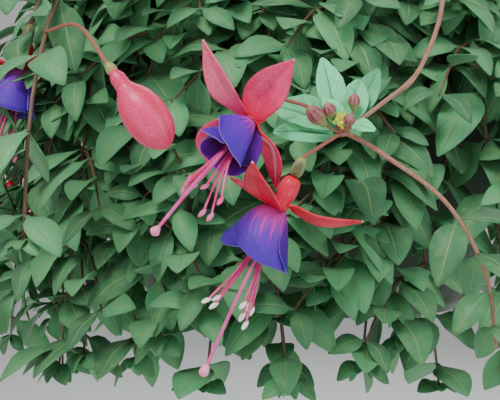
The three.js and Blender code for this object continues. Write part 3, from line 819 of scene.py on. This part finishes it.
UPPER = dict(
    base=vec(-30, -228.5, -336.1),
    axis=Vector((-0.45, -0.68, -0.58)),
    pedicel=[KNOT, vec(-1, -211.5, -332.5), vec(-9, -211.5, -328.6), vec(-16, -212.5, -326.6)],
    sepals=[
        dict(tip=vec(-17.4, -6.5, 30.1), width=11.5, cup=0.3, bow=vec(-0.7, -2, -0.8), grip=0.1,
             root=25, foot=0.55, finish="pale_rose_sepal"),
        dict(tip=vec(16.1, -14, 22.1), width=15, cup=0.22, bow=vec(-2.5, 3, -0.9)),
        dict(tip=vec(10, 13.5, -24.9), width=11.4, cup=0.3, bow=vec(4.0, -3, 3.6), twist=-0.4,
             root=75, grip=0.14, foot=1.6, finish="red_sepal_back"),
        dict(tip=vec(-16, 10.5, -14.9), width=14.5, cup=0.15, bow=vec(-6, 0, 1.2)),
    ],
    petals=[
        dict(margin=[(-1, -72, 7.6, 23), (-0.45, -24, 5.9, 23), (0, 23, 7.1, 21.6), (0.4, 44, 8.7, 19),
                     (0.75, 51, 10.7, 15.8), (1, 55, 11.5, 13.2)], flare=(0.85, 0.85), belly=1.6),
        dict(margin=[(-1, 20, 5.2, 21.2), (-0.4, 41, 5.9, 21), (0.1, 58, 7.6, 21), (0.55, 68, 9.7, 21),
                     (1, 77, 11.8, 21)], flare=(1, 1), belly=0.3),
        dict(margin=[(-1, 55, 6.0, 18.5), (-0.7, 80, 8.0, 20), (-0.4, 106, 9.5, 21), (0.05, 130, 9.4, 20.8),
                     (0.45, 153, 8.7, 20.4), (1, 190, 9, 20)], flare=(0.6, 0.6), belly=0.8),
        dict(margin=[(-1, 176, 8.8, 20.3), (-0.5, 204, 10, 20), (-0.1, 229, 10.2, 19.6), (0.25, 256, 10.1, 19.4),
                     (0.45, 270, 11.1, 19.2), (0.65, 280, 12.2, 18.7), (0.82, 282, 10.8, 20), (1, 284, 7.4, 21)],
             flare=(0.6, 0.55), belly=1.4, bow=14, spread=70, tuck=4.6, finish="folded_petal"),
    ],
    anthers=[
        vec(-22.4, -23.5, -22.9), vec(-23.6, -21.5, -25), vec(-20, -21.2, -23.9), vec(-15.8, -20, -23.9),
        vec(-16.8, -19.5, -33.2), vec(-14, -19.5, -34.6), vec(-10.4, -19.5, -28.9), vec(-21.4, -20.9, -21),
    ],
    stigma=vec(-31.9, -45.5, -39.1),
    stigma_size=0.96,
    sepal_finish="rose_sepal",
    anther_finish="pink_anther",
)

LOWER = dict(
    base=vec(-18.7, -226, -367.5),
    axis=Vector((-0.42, 0.1, -0.9)),
    pedicel=[KNOT, vec(-1.5, -219.5, -343.5)],
    sepals=[
        dict(tip=vec(30.8, -4, -5.6), width=8.4, cup=0.15, twist=0.5, lift=1.6, grip=0.08),
        dict(tip=vec(-10.6, -23, 16.2), width=17.6, cup=0.2, bow=vec(0.9, 0, 0.6), root=75, lift=-1.0),
        dict(tip=vec(-19.1, 18, 11.4), width=10, cup=0.3, bow=vec(0.5, 0, 2.2)),
        dict(tip=vec(-2, 26, 1.5), width=6.5, cup=0.3),
    ],
    petals=[
        dict(margin=[(-1, 88, 11.6, 17.5), (0, 150, 12.2, 19.2), (1, 212, 11.6, 19.4)],
             flare=(0.55, 0.6), belly=0.6, spread=65),
        dict(margin=[(-1, 190, 11.2, 19.4), (-0.3, 235, 12, 20.2), (0.4, 268, 12.6, 20.8), (1, 291, 13.2, 20.8)],
             flare=(0.75, 0.95), belly=0.5, bow=38, roll=0.6, tuck=-1.1, finish="purple_petal"),
        dict(margin=[(-1, -66, 12.5, 20.8), (-0.6, -40, 12.5, 20.2), (-0.15, -13, 12.3, 20.4), (0.3, 16, 12.3, 19.6),
                     (0.55, 36, 12.5, 18.2), (0.8, 60, 12.6, 15.9), (1, 88, 12.7, 13)],
             flare=(0.95, 0.45), belly=1.0, roll=0, spread=88, finish="flushed_violet_petal"),
        dict(margin=[(-1, 36, 11, 18), (-0.4, 55, 12.2, 19.6), (0.3, 75, 14.0, 20.6), (0.7, 88, 15.2, 19.6),
                     (1, 104, 14.8, 16.8)], flare=(0.7, 0.7), belly=0.3),
    ],
    anthers=[
        vec(-27.1, -3, -34.6), vec(-24.5, 3, -36.9), vec(-23.4, -1, -33.7), vec(-13.6, -4, -36.1),
        vec(-10.6, -1, -38.7), vec(-14, 3, -41), vec(-12.9, -4, -43.6), vec(-11.4, 6, -37.3),
    ],
    stigma=vec(-27.9, -8, -60),
    stigma_size=1.16,
    sepal_finish="scarlet_sepal",
    anther_finish="cream_anther",
)

# Each bud's name, base, tip and radius.
BUDS = [
    ("bud_1", vec(-1.4, -218.5, -336.6), vec(-8.3, -224, -330.0), 3.05),
    ("bud_2", vec(1.6, -217.5, -333.6), vec(-1.2, -220.5, -328.4), 2.5),
    ("bud_3", vec(7, -220.5, -336.6), vec(7.6, -225.5, -333.6), 2.2),
    ("bud_4", vec(9.6, -215.2, -330.9), vec(9.8, -216.6, -324.4), 2.25),
]

# Each leaf's name, base from the knot, tip, width and tint.
SPRAY_LEAVES = [
    ("leaf_up", vec(-2.4, 1.4, 1.4), vec(-1.7, -204, -309.2), 10.5, 0.6),
    ("leaf_hood", vec(-0.6, -0.2, 1.6), vec(-2.2, -215.5, -325.6), 6.4, 1.0),
    ("leaf_right", vec(2.6, 1.2, 2.4), vec(12.2, -205.5, -317.9), 9.6, 0.5),
    # Leaf_far_right's tint of 0 makes it the darkest leaf: painted shade, for it lies further back.
    ("leaf_far_right", vec(1.6, 1.6, 0.8), vec(21, -198, -313), 9, 0.0),
    ("leaf_small", vec(3.2, -0.8, 2.5), vec(17.4, -221, -338.6), 5, 0.9),
    ("leaf_left", vec(-1.6, 1.8, -1.4), vec(-20.8, -205, -338.2), 10.6, 0.6),
    ("leaf_behind", vec(-0.8, 2, 0.4), vec(-21.7, -196, -327), 13.4, 0.35),
]


def arch(azimuth, reach, fall):
    """A shoot that rises from the soil, arches over the rim and hangs outside it."""
    spoke = spoke_at(azimuth) * reach * MM
    stops = [(0.16, -2), (0.4, 44), (0.72, 48), (0.94, -10), (1, -fall)]
    return [spoke * part + UP * (SOIL_TOP + height) * MM for part, height in stops]


# The last shoot carries the mature bud.
SHOOTS = [
    arch(-90, 150, 96), arch(-32, 188, 110), arch(8, 182, 128), arch(44, 190, 100), arch(98, 184, 124),
    arch(133, 192, 104), arch(168, 180, 130), arch(216, 190, 112),
    [vec(-14, -28, SOIL_TOP), vec(-50, -75, -256), vec(-84, -135, -250), vec(-104, -190, -278),
     vec(-112, -222, -325), vec(-114, -232, -380)],
]


# ---- Operators ----


class FUCHSIA_OT_pot(Operator):
    """Build the moulded pot"""
    bl_idname = "fuchsia.pot"
    bl_label = "Pot"

    def execute(self, context):
        pot = context.scene.fuchsia_pot
        outer, top, base = POT_HIGH[0], POT_HIGH[2], POT_LOW[2]
        band, wall = outer - pot.rim_bead * MM, pot.wall * MM
        shoulder, ledge = band - 2.5 * MM, top - pot.rim_depth * MM
        outline = [
            (0, base + 3 * MM), (POT_FOOT - 16 * MM, base + 3 * MM), (POT_FOOT - 13 * MM, base),
            (POT_FOOT - 5 * MM, base), (POT_FOOT, base + 5 * MM), (shoulder, ledge), (outer, ledge + MM),
            (outer, top), (band - wall, top), (shoulder - wall, ledge), (POT_FOOT - wall, base + 8.5 * MM),
            (POT_FOOT - 8.5 * MM, base + 6 * MM), (0, base + 6 * MM),
        ]
        with new_piece("moulded_pot", "pot_plastic", "pot_plastic", "pot", bevel=(1.0, 25)) as bm:
            corners = [bm.verts.new((radius, 0, height)) for radius, height in outline]
            edges = [bm.edges.new(pair) for pair in zip(corners, corners[1:])]
            bmesh.ops.spin(
                bm, geom=corners + edges, cent=(0, 0, 0), axis=(0, 0, 1), dvec=(0, 0, 0),
                angle=2 * pi, steps=96, use_merge=True,
            )
            bmesh.ops.remove_doubles(bm, verts=bm.verts, dist=1e-6)
            bmesh.ops.recalc_face_normals(bm, faces=bm.faces)
        return {"FINISHED"}


class FUCHSIA_OT_soil(Operator):
    """Build the crumbly soil that fills the pot"""
    bl_idname = "fuchsia.soil"
    bl_label = "Soil"

    def execute(self, context):
        low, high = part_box("soil")
        radius, foot, rings = high[0] - 0.4 * MM, 80 * MM, 26
        with new_piece("compost", "compost", "soil", "soil") as bm:
            bmesh.ops.create_circle(bm, cap_ends=True, cap_tris=False, segments=96, radius=radius)
            top = bm.faces[:]
            for _ in range(rings):
                bmesh.ops.inset_region(
                    bm, faces=top, thickness=radius / (rings + 1), use_boundary=True, use_even_offset=True,
                )
            for vert in bm.verts:
                spread = Vector((vert.co.x, vert.co.y, 0)).length / radius
                crumbs = noise.fractal(vert.co * 95, 0.8, 2.1, 5) * 2.2 * MM
                height = high[2] - 1.6 * MM - 3.2 * MM * spread ** 2 + crumbs * (1 - 0.3 * spread)
                vert.co.z = min(height, high[2] + 1.5 * MM)
            made = bmesh.ops.extrude_edge_only(bm, edges=[edge for edge in bm.edges if edge.is_boundary])
            for vert in made["geom"]:
                if isinstance(vert, bmesh.types.BMVert):
                    vert.co = Vector((vert.co.x * (foot / radius), vert.co.y * (foot / radius), low[2] + MM))
            bmesh.ops.contextual_create(bm, geom=[edge for edge in bm.edges if edge.is_boundary])
            bmesh.ops.recalc_face_normals(bm, faces=bm.faces)
        return {"FINISHED"}


class FUCHSIA_OT_hanger(Operator):
    """Build the hook, its hub and the three straps"""
    bl_idname = "fuchsia.hanger"
    bl_label = "Hanger"

    def execute(self, context):
        bend, wire = 13, 2
        centre = wire - bend
        points = [vec(-bend, 0, centre - 4)]
        points += [
            vec(bend * cos(radians(angle)), 0, centre + bend * sin(radians(angle)))
            for angle in range(180, -1, -30)
        ]
        points += [vec(bend, 0, centre - 8), vec(bend / 2, 0, centre - 18), vec(0, 0, centre - 26)]
        points += [vec(0, 0, centre - 34)]
        ball_end = curve([(0, 0.6), (0.03, 1.0), (1, 1.0)])
        disc = curve([(0, 6.6), (0.08, 7.7), (0.5, 8), (0.62, 7.6), (0.72, 4), (1, 2.6)])
        with new_piece("wire_hook", "pot_plastic", "hanger_plastic", "hanger_hook") as bm:
            sweep(bm, Path(points), lambda part, _: wire * MM * ball_end(part), 20, 90)
            sweep(bm, Path([vec(0, 0, -48), vec(0, 0, -39.5)]), lambda part, _: disc(part) * MM, 40, 26)
        for i in range(3):
            self.build_strap(i)
        return {"FINISHED"}

    @staticmethod
    def build_strap(i):
        """A flat strap with a raised rib down its middle, a foot at the hub and a clip over the rim."""
        spoke = spoke_at(70 + 120 * i)
        level = UP.cross(spoke)
        slope = [(14 + 105 * part, -58 - 226 * part) for part in (0, 0.12, 0.38, 0.66, 0.86, 0.955, 1)]
        route = [(7, -43), *slope, (123, -287.6), (126.4, -289), (127.2, -296), (127.2, -307)]
        rail = Path([(spoke * radius + UP * height) * MM for radius, height in route], 16)
        width = curve([(0, 4.2), (0.03, 2.5), (0.9, 2.5), (0.96, 3.6), (1, 3.2)])

        def place(u, v):
            outward = level.cross(rail.tangent(v))
            rib = 0.5 * MM * smooth(0.45, 0.2, abs(u)) if abs(u) < 0.45 else 0
            return rail.at(v) + level * u * width(v) * MM + outward * rib

        with new_piece(
            f"strap_{i + 1}", "pot_plastic", "hanger_plastic", f"hanger_arm_{i + 1}", 1.6, bevel=(0.35, 50),
        ) as bm:
            bend_grid(bm, 8, 140, place)


class FUCHSIA_OT_spray_stems(Operator):
    """Build the arching stem of the spray and its side branch"""
    bl_idname = "fuchsia.spray_stems"
    bl_label = "Spray stems"

    def execute(self, context):
        dice = random.Random(11)
        swell = lambda part: 1 + 0.35 * sum(smooth(0.02, 0, abs(part - knot)) for knot in (0.3, 0.5, 0.7, 0.88))
        cluster = Path([KNOT + vec(2.4, 0.6, 1.6), KNOT + vec(-2.2, -0.4, -1)])
        bulge = curve([(0, 0.9), (0.4, 2.0), (0.7, 1.9), (1, 0.7)])
        with new_piece("arching_stem", "pink_brown_stem", "stem", "spray_stem") as bm:
            sweep(bm, Path(SPRAY_STEM), lambda part, _: (1.4 - 0.55 * part) * MM * swell(part), 12, 90)
            sweep(bm, cluster, lambda part, angle: bulge(part) * MM * (1 + 0.08 * cos(3 * angle)), 16, 12)
        path = Path(SIDE_BRANCH)
        with new_piece("side_branch_with_leaves", "old_leaf pink_brown_stem", "stem", "side_branch", 0.3) as bm:
            sweep(bm, path, lambda part, _: (0.85 - 0.3 * part) * MM, 10, 60, material=1)
            for i, part in enumerate((0.52, 0.66, 0.8, 0.92)):
                leaf_pair(bm, path.at(part), path.tangent(part), (30 - 4 * i) * MM, 1.57 * i, dice, False)
        return {"FINISHED"}


class FUCHSIA_OT_spray_leaves(Operator):
    """Build the pale leaves round the knot"""
    bl_idname = "fuchsia.spray_leaves"
    bl_label = "Spray leaves"

    def execute(self, context):
        thickness = context.scene.fuchsia_leaf.thickness
        facing = Vector((0.1, -0.92, 0.38)).normalized()
        for name, base, tip, width, tint in SPRAY_LEAVES:
            with new_piece(f"young_{name}", "young_leaf", "leaf", name, thickness) as bm:
                shape_leaf(
                    bm, KNOT + base, tip, width * MM, facing, fold=0.55, sag=0.06, stalk=0.08,
                    across=16, along=96, teeth=24, tint=tint, curl=0.03,
                )
        return {"FINISHED"}


class FUCHSIA_OT_young_buds(Operator):
    """Build the young ribbed buds and the growing tip"""
    bl_idname = "fuchsia.young_buds"
    bl_label = "Young buds"

    def execute(self, context):
        shape = curve([(0, 0.35), (0.12, 0.5), (0.4, 0.95), (0.6, 1.0), (0.85, 0.68), (1, 0.15)])
        for name, start, end, radius in BUDS:
            bend = KNOT.lerp(start, 0.5) + vec(0, -0.8, -0.8)
            stalk = Path([KNOT, bend, start + (end - start).normalized() * 0.6 * MM])
            ribs = lambda part, angle: radius * MM * shape(part) * (1 + 0.06 * abs(cos(4 * angle)))
            with new_piece(f"ribbed_{name}", "young_bud red_brown_pedicel", "young_bud", name) as bm:
                sweep(bm, stalk, 0.5 * MM, 10, 18, material=1)
                sweep(bm, Path([start, end]), ribs, 48, 26)
        start, leaves = KNOT + vec(-1.2, -3.4, 4.2), 9
        with new_piece("leaf_tip", "growing_tip", "growing_tip", "growing_tip", 0.25) as bm:
            sweep(bm, Path([KNOT + vec(-0.2, -0.8, 0.6), KNOT + vec(-0.9, -2.4, 2.6), start]), 0.55 * MM, 10, 12)
            for i in range(leaves):
                angle = 1.1 + i * 2.4
                run = 3.6 - 0.26 * i
                tip = start + vec(run * cos(angle), -0.7 - 0.25 * i, run * sin(angle) + 0.4)
                facing = (FRONT + (start - tip).normalized() * 0.5).normalized()
                shape_leaf(
                    bm, start, tip, 1.25 * MM, facing, fold=0.5, stalk=0.02, across=6, along=10, tint=i / leaves,
                )
        return {"FINISHED"}


class FUCHSIA_OT_open_flowers(Operator):
    """Build the two open flowers of the spray"""
    bl_idname = "fuchsia.open_flowers"
    bl_label = "Open flowers"

    def execute(self, context):
        for name, plan in (("upper", UPPER), ("lower", LOWER)):
            self.build(name, plan, context.scene.fuchsia_flower)
        return {"FINISHED"}

    @staticmethod
    def build(name, plan, flower):
        bloom = Bloom(plan["base"], plan["axis"])
        stigma = plan["stigma"]
        stalk = Path([*plan["pedicel"], bloom.at(0, 0, -flower.tube_length - flower.ovary_length)])

        def part(title, finishes, slot, node, *others):
            return new_piece(f"{name}_flower_{title}", finishes, slot, f"{name}_{node}", *others)

        with part("stalk", "red_brown_pedicel", "stem", "pedicel") as bm:
            sweep(bm, stalk, lambda part, _: (0.82 - 0.1 * sin(pi * part)) * MM, 12, 50)
        with part("ovary", "olive_ovary", "ovary", "ovary") as bm:
            shape_ovary(bm, bloom, flower, 24)
        with part("tube", "glossy_red_tube", "sepal", "tube") as bm:
            shape_tube(bm, bloom, flower, 48)
        for kind, shape, back, thickness, usual in (
            ("sepal", shape_sepal, "red_sepal_back", flower.sepal_thickness, {"finish": plan["sepal_finish"]}),
            ("petal", shape_petal, "purple_petal_lining", flower.petal_thickness,
             {"finish": "violet_petal", "across": 40, "along": 40}),
        ):
            for i, item in enumerate(plan[f"{kind}s"], 1):
                form = usual | item
                front = form.pop("finish")
                with part(f"{kind}_{i}", f"{front} {back}", kind, f"{kind}_{i}", thickness, 1) as bm:
                    shape(bm, bloom, flower, **form)
        with part("stamens", f"pink_filament {plan['anther_finish']}", "filament", "stamens") as bm:
            shape_stamens(bm, bloom, plan["anthers"], stigma)
        with part("style", "mauve_style pale_stigma", "filament", "style") as bm:
            shape_style(bm, bloom, stigma, head_size=plan["stigma_size"])


BUD_SHAPE = curve([
    (0, 0.8), (0.04, 1.7), (0.09, 2.2), (0.12, 1.8), (0.16, 2.7), (0.22, 3.0), (0.28, 3.1), (0.33, 4.2),
    (0.4, 6.0), (0.5, 7.5), (0.62, 8.2), (0.74, 8.0), (0.86, 6.7), (0.95, 4.1), (1, 1.2),
])


def build_hanging_bud(name, start, neck, tip, size, sides, nodes=""):
    """A mature closed bud on its stalk: ovary, tube and the pointed swelling of the closed sepals."""
    axis = (tip - neck).normalized()
    bend = start.lerp(neck, 0.55) + UP * 0.16 * (neck - start).length
    furrow = lambda part, angle: 0.03 * cos(4 * angle) ** 8 * smooth(0.4, 0.6, part)
    ribs = lambda part, angle: BUD_SHAPE(part) * MM * size * (1 - furrow(part, angle))
    with new_piece(name, "mature_bud red_brown_pedicel", "sepal", nodes) as bm:
        sweep(bm, Path([start, bend, neck + axis * MM]), 0.75 * MM * size, 8, 24, material=1)
        sweep(bm, Path([neck, tip]), ribs, sides, 44)


class FUCHSIA_OT_mature_bud(Operator):
    """Build the mature bud that hangs at the left of the spray"""
    bl_idname = "fuchsia.mature_bud"
    bl_label = "Mature bud"

    def execute(self, context):
        start, neck, tip = Path(SHOOTS[-1]).at(0.74), vec(-81.3, -250, -315.9), vec(-59.2, -250, -346.2)
        build_hanging_bud("full_bud", start, neck, tip, 1.0, 48, "mature_bud")
        return {"FINISHED"}


def build_shoots(name, plans, grown, seed, nodes="", **options):
    """A leafy shoot along each plan's points, with leaves grown to so many times their size."""
    leaf = bpy.context.scene.fuchsia_leaf
    for i, points in enumerate(plans):
        with new_piece(
            f"{name}_{i + 1}", "old_leaf brown_stem", "leaf", nodes and f"{nodes}_{i + 1}", leaf.thickness,
        ) as bm:
            leafy_shoot(bm, Path(points), grown * leaf.size, random.Random(seed + i), **options)


class FUCHSIA_OT_trailing_shoots(Operator):
    """Build the leafy shoots that arch over the rim"""
    bl_idname = "fuchsia.trailing_shoots"
    bl_label = "Trailing shoots"

    def execute(self, context):
        radius = context.scene.fuchsia_leaf.stem_radius
        build_shoots("trailing_shoot", SHOOTS, 1, 30, "shoot", radius=radius)
        return {"FINISHED"}


class FUCHSIA_OT_crown_shoots(Operator):
    """Build the shoots that fill the crown and drape over the rim between the trailing ones"""
    bl_idname = "fuchsia.crown_shoots"
    bl_label = "Crown and draping shoots"

    def execute(self, context):
        drapes = []
        round_the_pot = 36
        for i in range(45):
            if i < round_the_pot:
                azimuth, fall = -97 + 10 * i, (134, 100, 122, 78)[i % 4]
            else:
                azimuth, fall = -152 + 14 * (i - round_the_pot), 145 - 6 * (i % 3)
            sway = radians(5 if i % 2 else -5)
            points = enumerate(arch(azimuth, 139 + 9 * (i * 2 % 3), fall))
            drapes.append([Matrix.Rotation(sway * sin(2.4 * j), 3, "Z") @ point for j, point in points])
        tufts = []
        for i in range(12):
            spoke = spoke_at(30 * i + 12) * MM
            high = -264 + 20 * (i % 3)
            stops = [(12, SOIL_TOP), (36, high - 14), (62 + 16 * (i % 2), high + 10)]
            tufts.append([spoke * radius + UP * height * MM for radius, height in stops])
        build_shoots("draping_shoot", drapes, 1.25, 70, knots=12, radius=1.0)
        build_shoots("crown_shoot", tufts, 1.25, 70, knots=7, radius=1.0)
        return {"FINISHED"}


class FUCHSIA_OT_hanging_flowers(Operator):
    """Build the flowers and buds that hang from the other shoots"""
    bl_idname = "fuchsia.hanging_flowers"
    bl_label = "Hanging flowers"

    def execute(self, context):
        # The shoot a flower hangs from, how far along it, and how far out and down the flower hangs.
        plans = [
            (1, 0.732, 16, 46), (3, 0.728, 18, 44), (5, 0.748, 15, 46), (7, 0.704, 17, 45),
            (2, 0.68, 8, 44), (4, 0.68, 8, 42), (6, 0.66, 8, 42), (3, 0.52, 14, 38), (5, 0.5, 16, 36),
            (2, 0.46, 18, 36), (7, 0.48, 18, 38), (1, 0.48, 16, 36),
        ]
        for i, (shoot, part, out, down) in enumerate(plans):
            nodes = f"hanging_flower_{i + 1}" if i < 4 else ""
            self.build(context.scene.fuchsia_flower, i, Path(SHOOTS[shoot]).at(part), out, down, nodes)
        for shoot, part in ((1, 0.92), (2, 0.9), (3, 0.9), (4, 0.9), (5, 0.9), (6, 0.86), (7, 0.9)):
            start = Path(SHOOTS[shoot]).at(part)
            outward = outward_at(start)
            neck = start + outward * 8 * MM - UP * 14 * MM
            tip = neck + (outward * 0.2 - UP).normalized() * 26 * MM
            build_hanging_bud(f"drooping_bud_{shoot}", start, neck, tip, 0.75, 16)
        return {"FINISHED"}

    @staticmethod
    def build(flower, i, start, out, down, nodes):
        outward = outward_at(start)
        axis = (outward * 0.25 - UP).normalized()
        flower_room = -22 * MM
        base = keep_inside(start + outward * out * MM - UP * down * MM, flower_room, flower_room)
        bloom = Bloom(base, axis)
        dice = random.Random(200 + i)
        back = bloom.at(0, 0, -flower.tube_length - flower.ovary_length)
        stalk = Path([start, start.lerp(back, 0.6) + UP * 5 * MM, back])
        stigma = axis * STYLE_LENGTH
        finishes = "scarlet_sepal violet_petal red_brown_pedicel olive_ovary pink_filament pink_anther"
        red, violet, stem, ovary, filament = range(5)
        with new_piece(f"drooping_flower_{i + 1}", finishes, "sepal", nodes, flower.petal_thickness) as bm:

            def section(finish, shape, *arguments, **options):
                """Add a shape whose finishes start at one place in the list."""
                known = set(bm.faces)
                shape(bm, *arguments, **options)
                for face in bm.faces:
                    if face not in known:
                        face.material_index += finish

            section(stem, sweep, stalk, 0.8 * MM, 8, 16)
            section(ovary, shape_ovary, bloom, flower, 10)
            section(red, shape_tube, bloom, flower, 16)
            turn = dice.uniform(0, 1.5)
            for j in range(4):
                angle = turn + pi / 2 * j
                tip = bloom.at(angle, 28, dice.uniform(-9, 3)) - base
                section(red, shape_sepal, bloom, flower, tip, 10, cup=0.3, across=6, along=12)
                middle = degrees(angle) + 45
                margin = [(-1, middle - 58, 10.5, 21), (-0.2, middle, 12, 22.5), (1, middle + 58, 12.6, 20.5)]
                section(violet, shape_petal, bloom, flower, margin, (0.65, 0.65), 0.8, across=10, along=10)
            tips = [bloom.at(0.8 * j, 5 + j % 3, 36 + 3 * (j % 3)) - base for j in range(8)]
            section(filament, shape_stamens, bloom, tips, stigma, 5, 8)
            section(filament, shape_style, bloom, stigma, 6)


class FUCHSIA_OT_stage(Operator):
    """Set the pale floor, the soft lights and the camera"""
    bl_idname = "fuchsia.stage"
    bl_label = "Stage"

    def execute(self, context):
        scene = context.scene
        bm = bmesh.new()
        bmesh.ops.create_circle(bm, cap_ends=True, segments=64, radius=9)
        floor_mesh = bpy.data.meshes.new("floor")
        bm.to_mesh(floor_mesh)
        bm.free()
        floor = bpy.data.objects.new("floor", floor_mesh)
        floor.location.z = CAD_BOX[0][2] - FLOOR_DROP
        paper = Finish("floor_paper", roughness=0.9, base_color=(0.72, 0.74, 0.73, 1))
        floor_mesh.materials.append(paper.material)
        scene.collection.objects.link(floor)

        for name, place, size, power, tone in (
            ("key", (-0.7, -1.5, 1.2), 1.0, 46, (1.0, 0.97, 0.92)),
            ("fill", (1.5, -1.2, 0.1), 1.4, 14, (0.9, 0.96, 1.0)),
            ("back", (0.5, 1.6, 0.9), 1.3, 17, (0.95, 1.0, 0.97)),
        ):
            data = fit(bpy.data.lights.new(name, "AREA"), shape="DISK", size=size, energy=power, color=tone)
            turn = (vec(-20, -120, -340) - Vector(place)).to_track_quat("-Z", "Y").to_euler()
            light = fit(bpy.data.objects.new(name, data), location=place, rotation_euler=turn)
            scene.collection.objects.link(light)
        world = bpy.data.worlds.new("soft_light")
        world.use_nodes = True
        background = world.node_tree.nodes["Background"]
        background.inputs["Color"].default_value = (0.86, 0.89, 0.88, 1)
        background.inputs["Strength"].default_value = 0.5
        scene.world = world

        lens = fit(bpy.data.cameras.new("camera"), sensor_width=36, lens=99.84, clip_start=0.01)
        camera = bpy.data.objects.new("camera", lens)
        fit(camera, location=vec(-30, -745, -365), rotation_euler=(pi / 2, 0, 0))
        scene.collection.objects.link(camera)
        scene.camera = camera
        return {"FINISHED"}


OPERATORS = [
    FUCHSIA_OT_pot, FUCHSIA_OT_soil, FUCHSIA_OT_hanger, FUCHSIA_OT_spray_stems, FUCHSIA_OT_spray_leaves,
    FUCHSIA_OT_young_buds, FUCHSIA_OT_open_flowers, FUCHSIA_OT_mature_bud, FUCHSIA_OT_trailing_shoots,
    FUCHSIA_OT_crown_shoots, FUCHSIA_OT_hanging_flowers, FUCHSIA_OT_stage,
]
SETTINGS = {"fuchsia_pot": PotSettings, "fuchsia_flower": FlowerSettings, "fuchsia_leaf": LeafSettings}


class FUCHSIA_PT_panel(Panel):
    """Lists the steps that build the plant"""
    bl_idname = "FUCHSIA_PT_panel"
    bl_label = "Hanging fuchsia"
    bl_space_type = "VIEW_3D"
    bl_region_type = "UI"
    bl_category = "Fuchsia"

    def draw(self, context):
        for name, group in SETTINGS.items():
            box = self.layout.box()
            for key in group.__annotations__:
                box.prop(getattr(context.scene, name), key)
        for operator in OPERATORS:
            self.layout.operator(operator.bl_idname)


CLASSES = [*SETTINGS.values(), *OPERATORS, FUCHSIA_PT_panel]


def register():
    for item in CLASSES:
        bpy.utils.register_class(item)
    for key, group in SETTINGS.items():
        setattr(bpy.types.Scene, key, bpy.props.PointerProperty(type=group))


def unregister():
    for key in SETTINGS:
        delattr(bpy.types.Scene, key)
    for item in reversed(CLASSES):
        bpy.utils.unregister_class(item)


def main():
    register()
    for operator in OPERATORS:
        getattr(bpy.ops.fuchsia, operator.bl_idname.split(".")[1])()


if __name__ == "__main__":
    main()
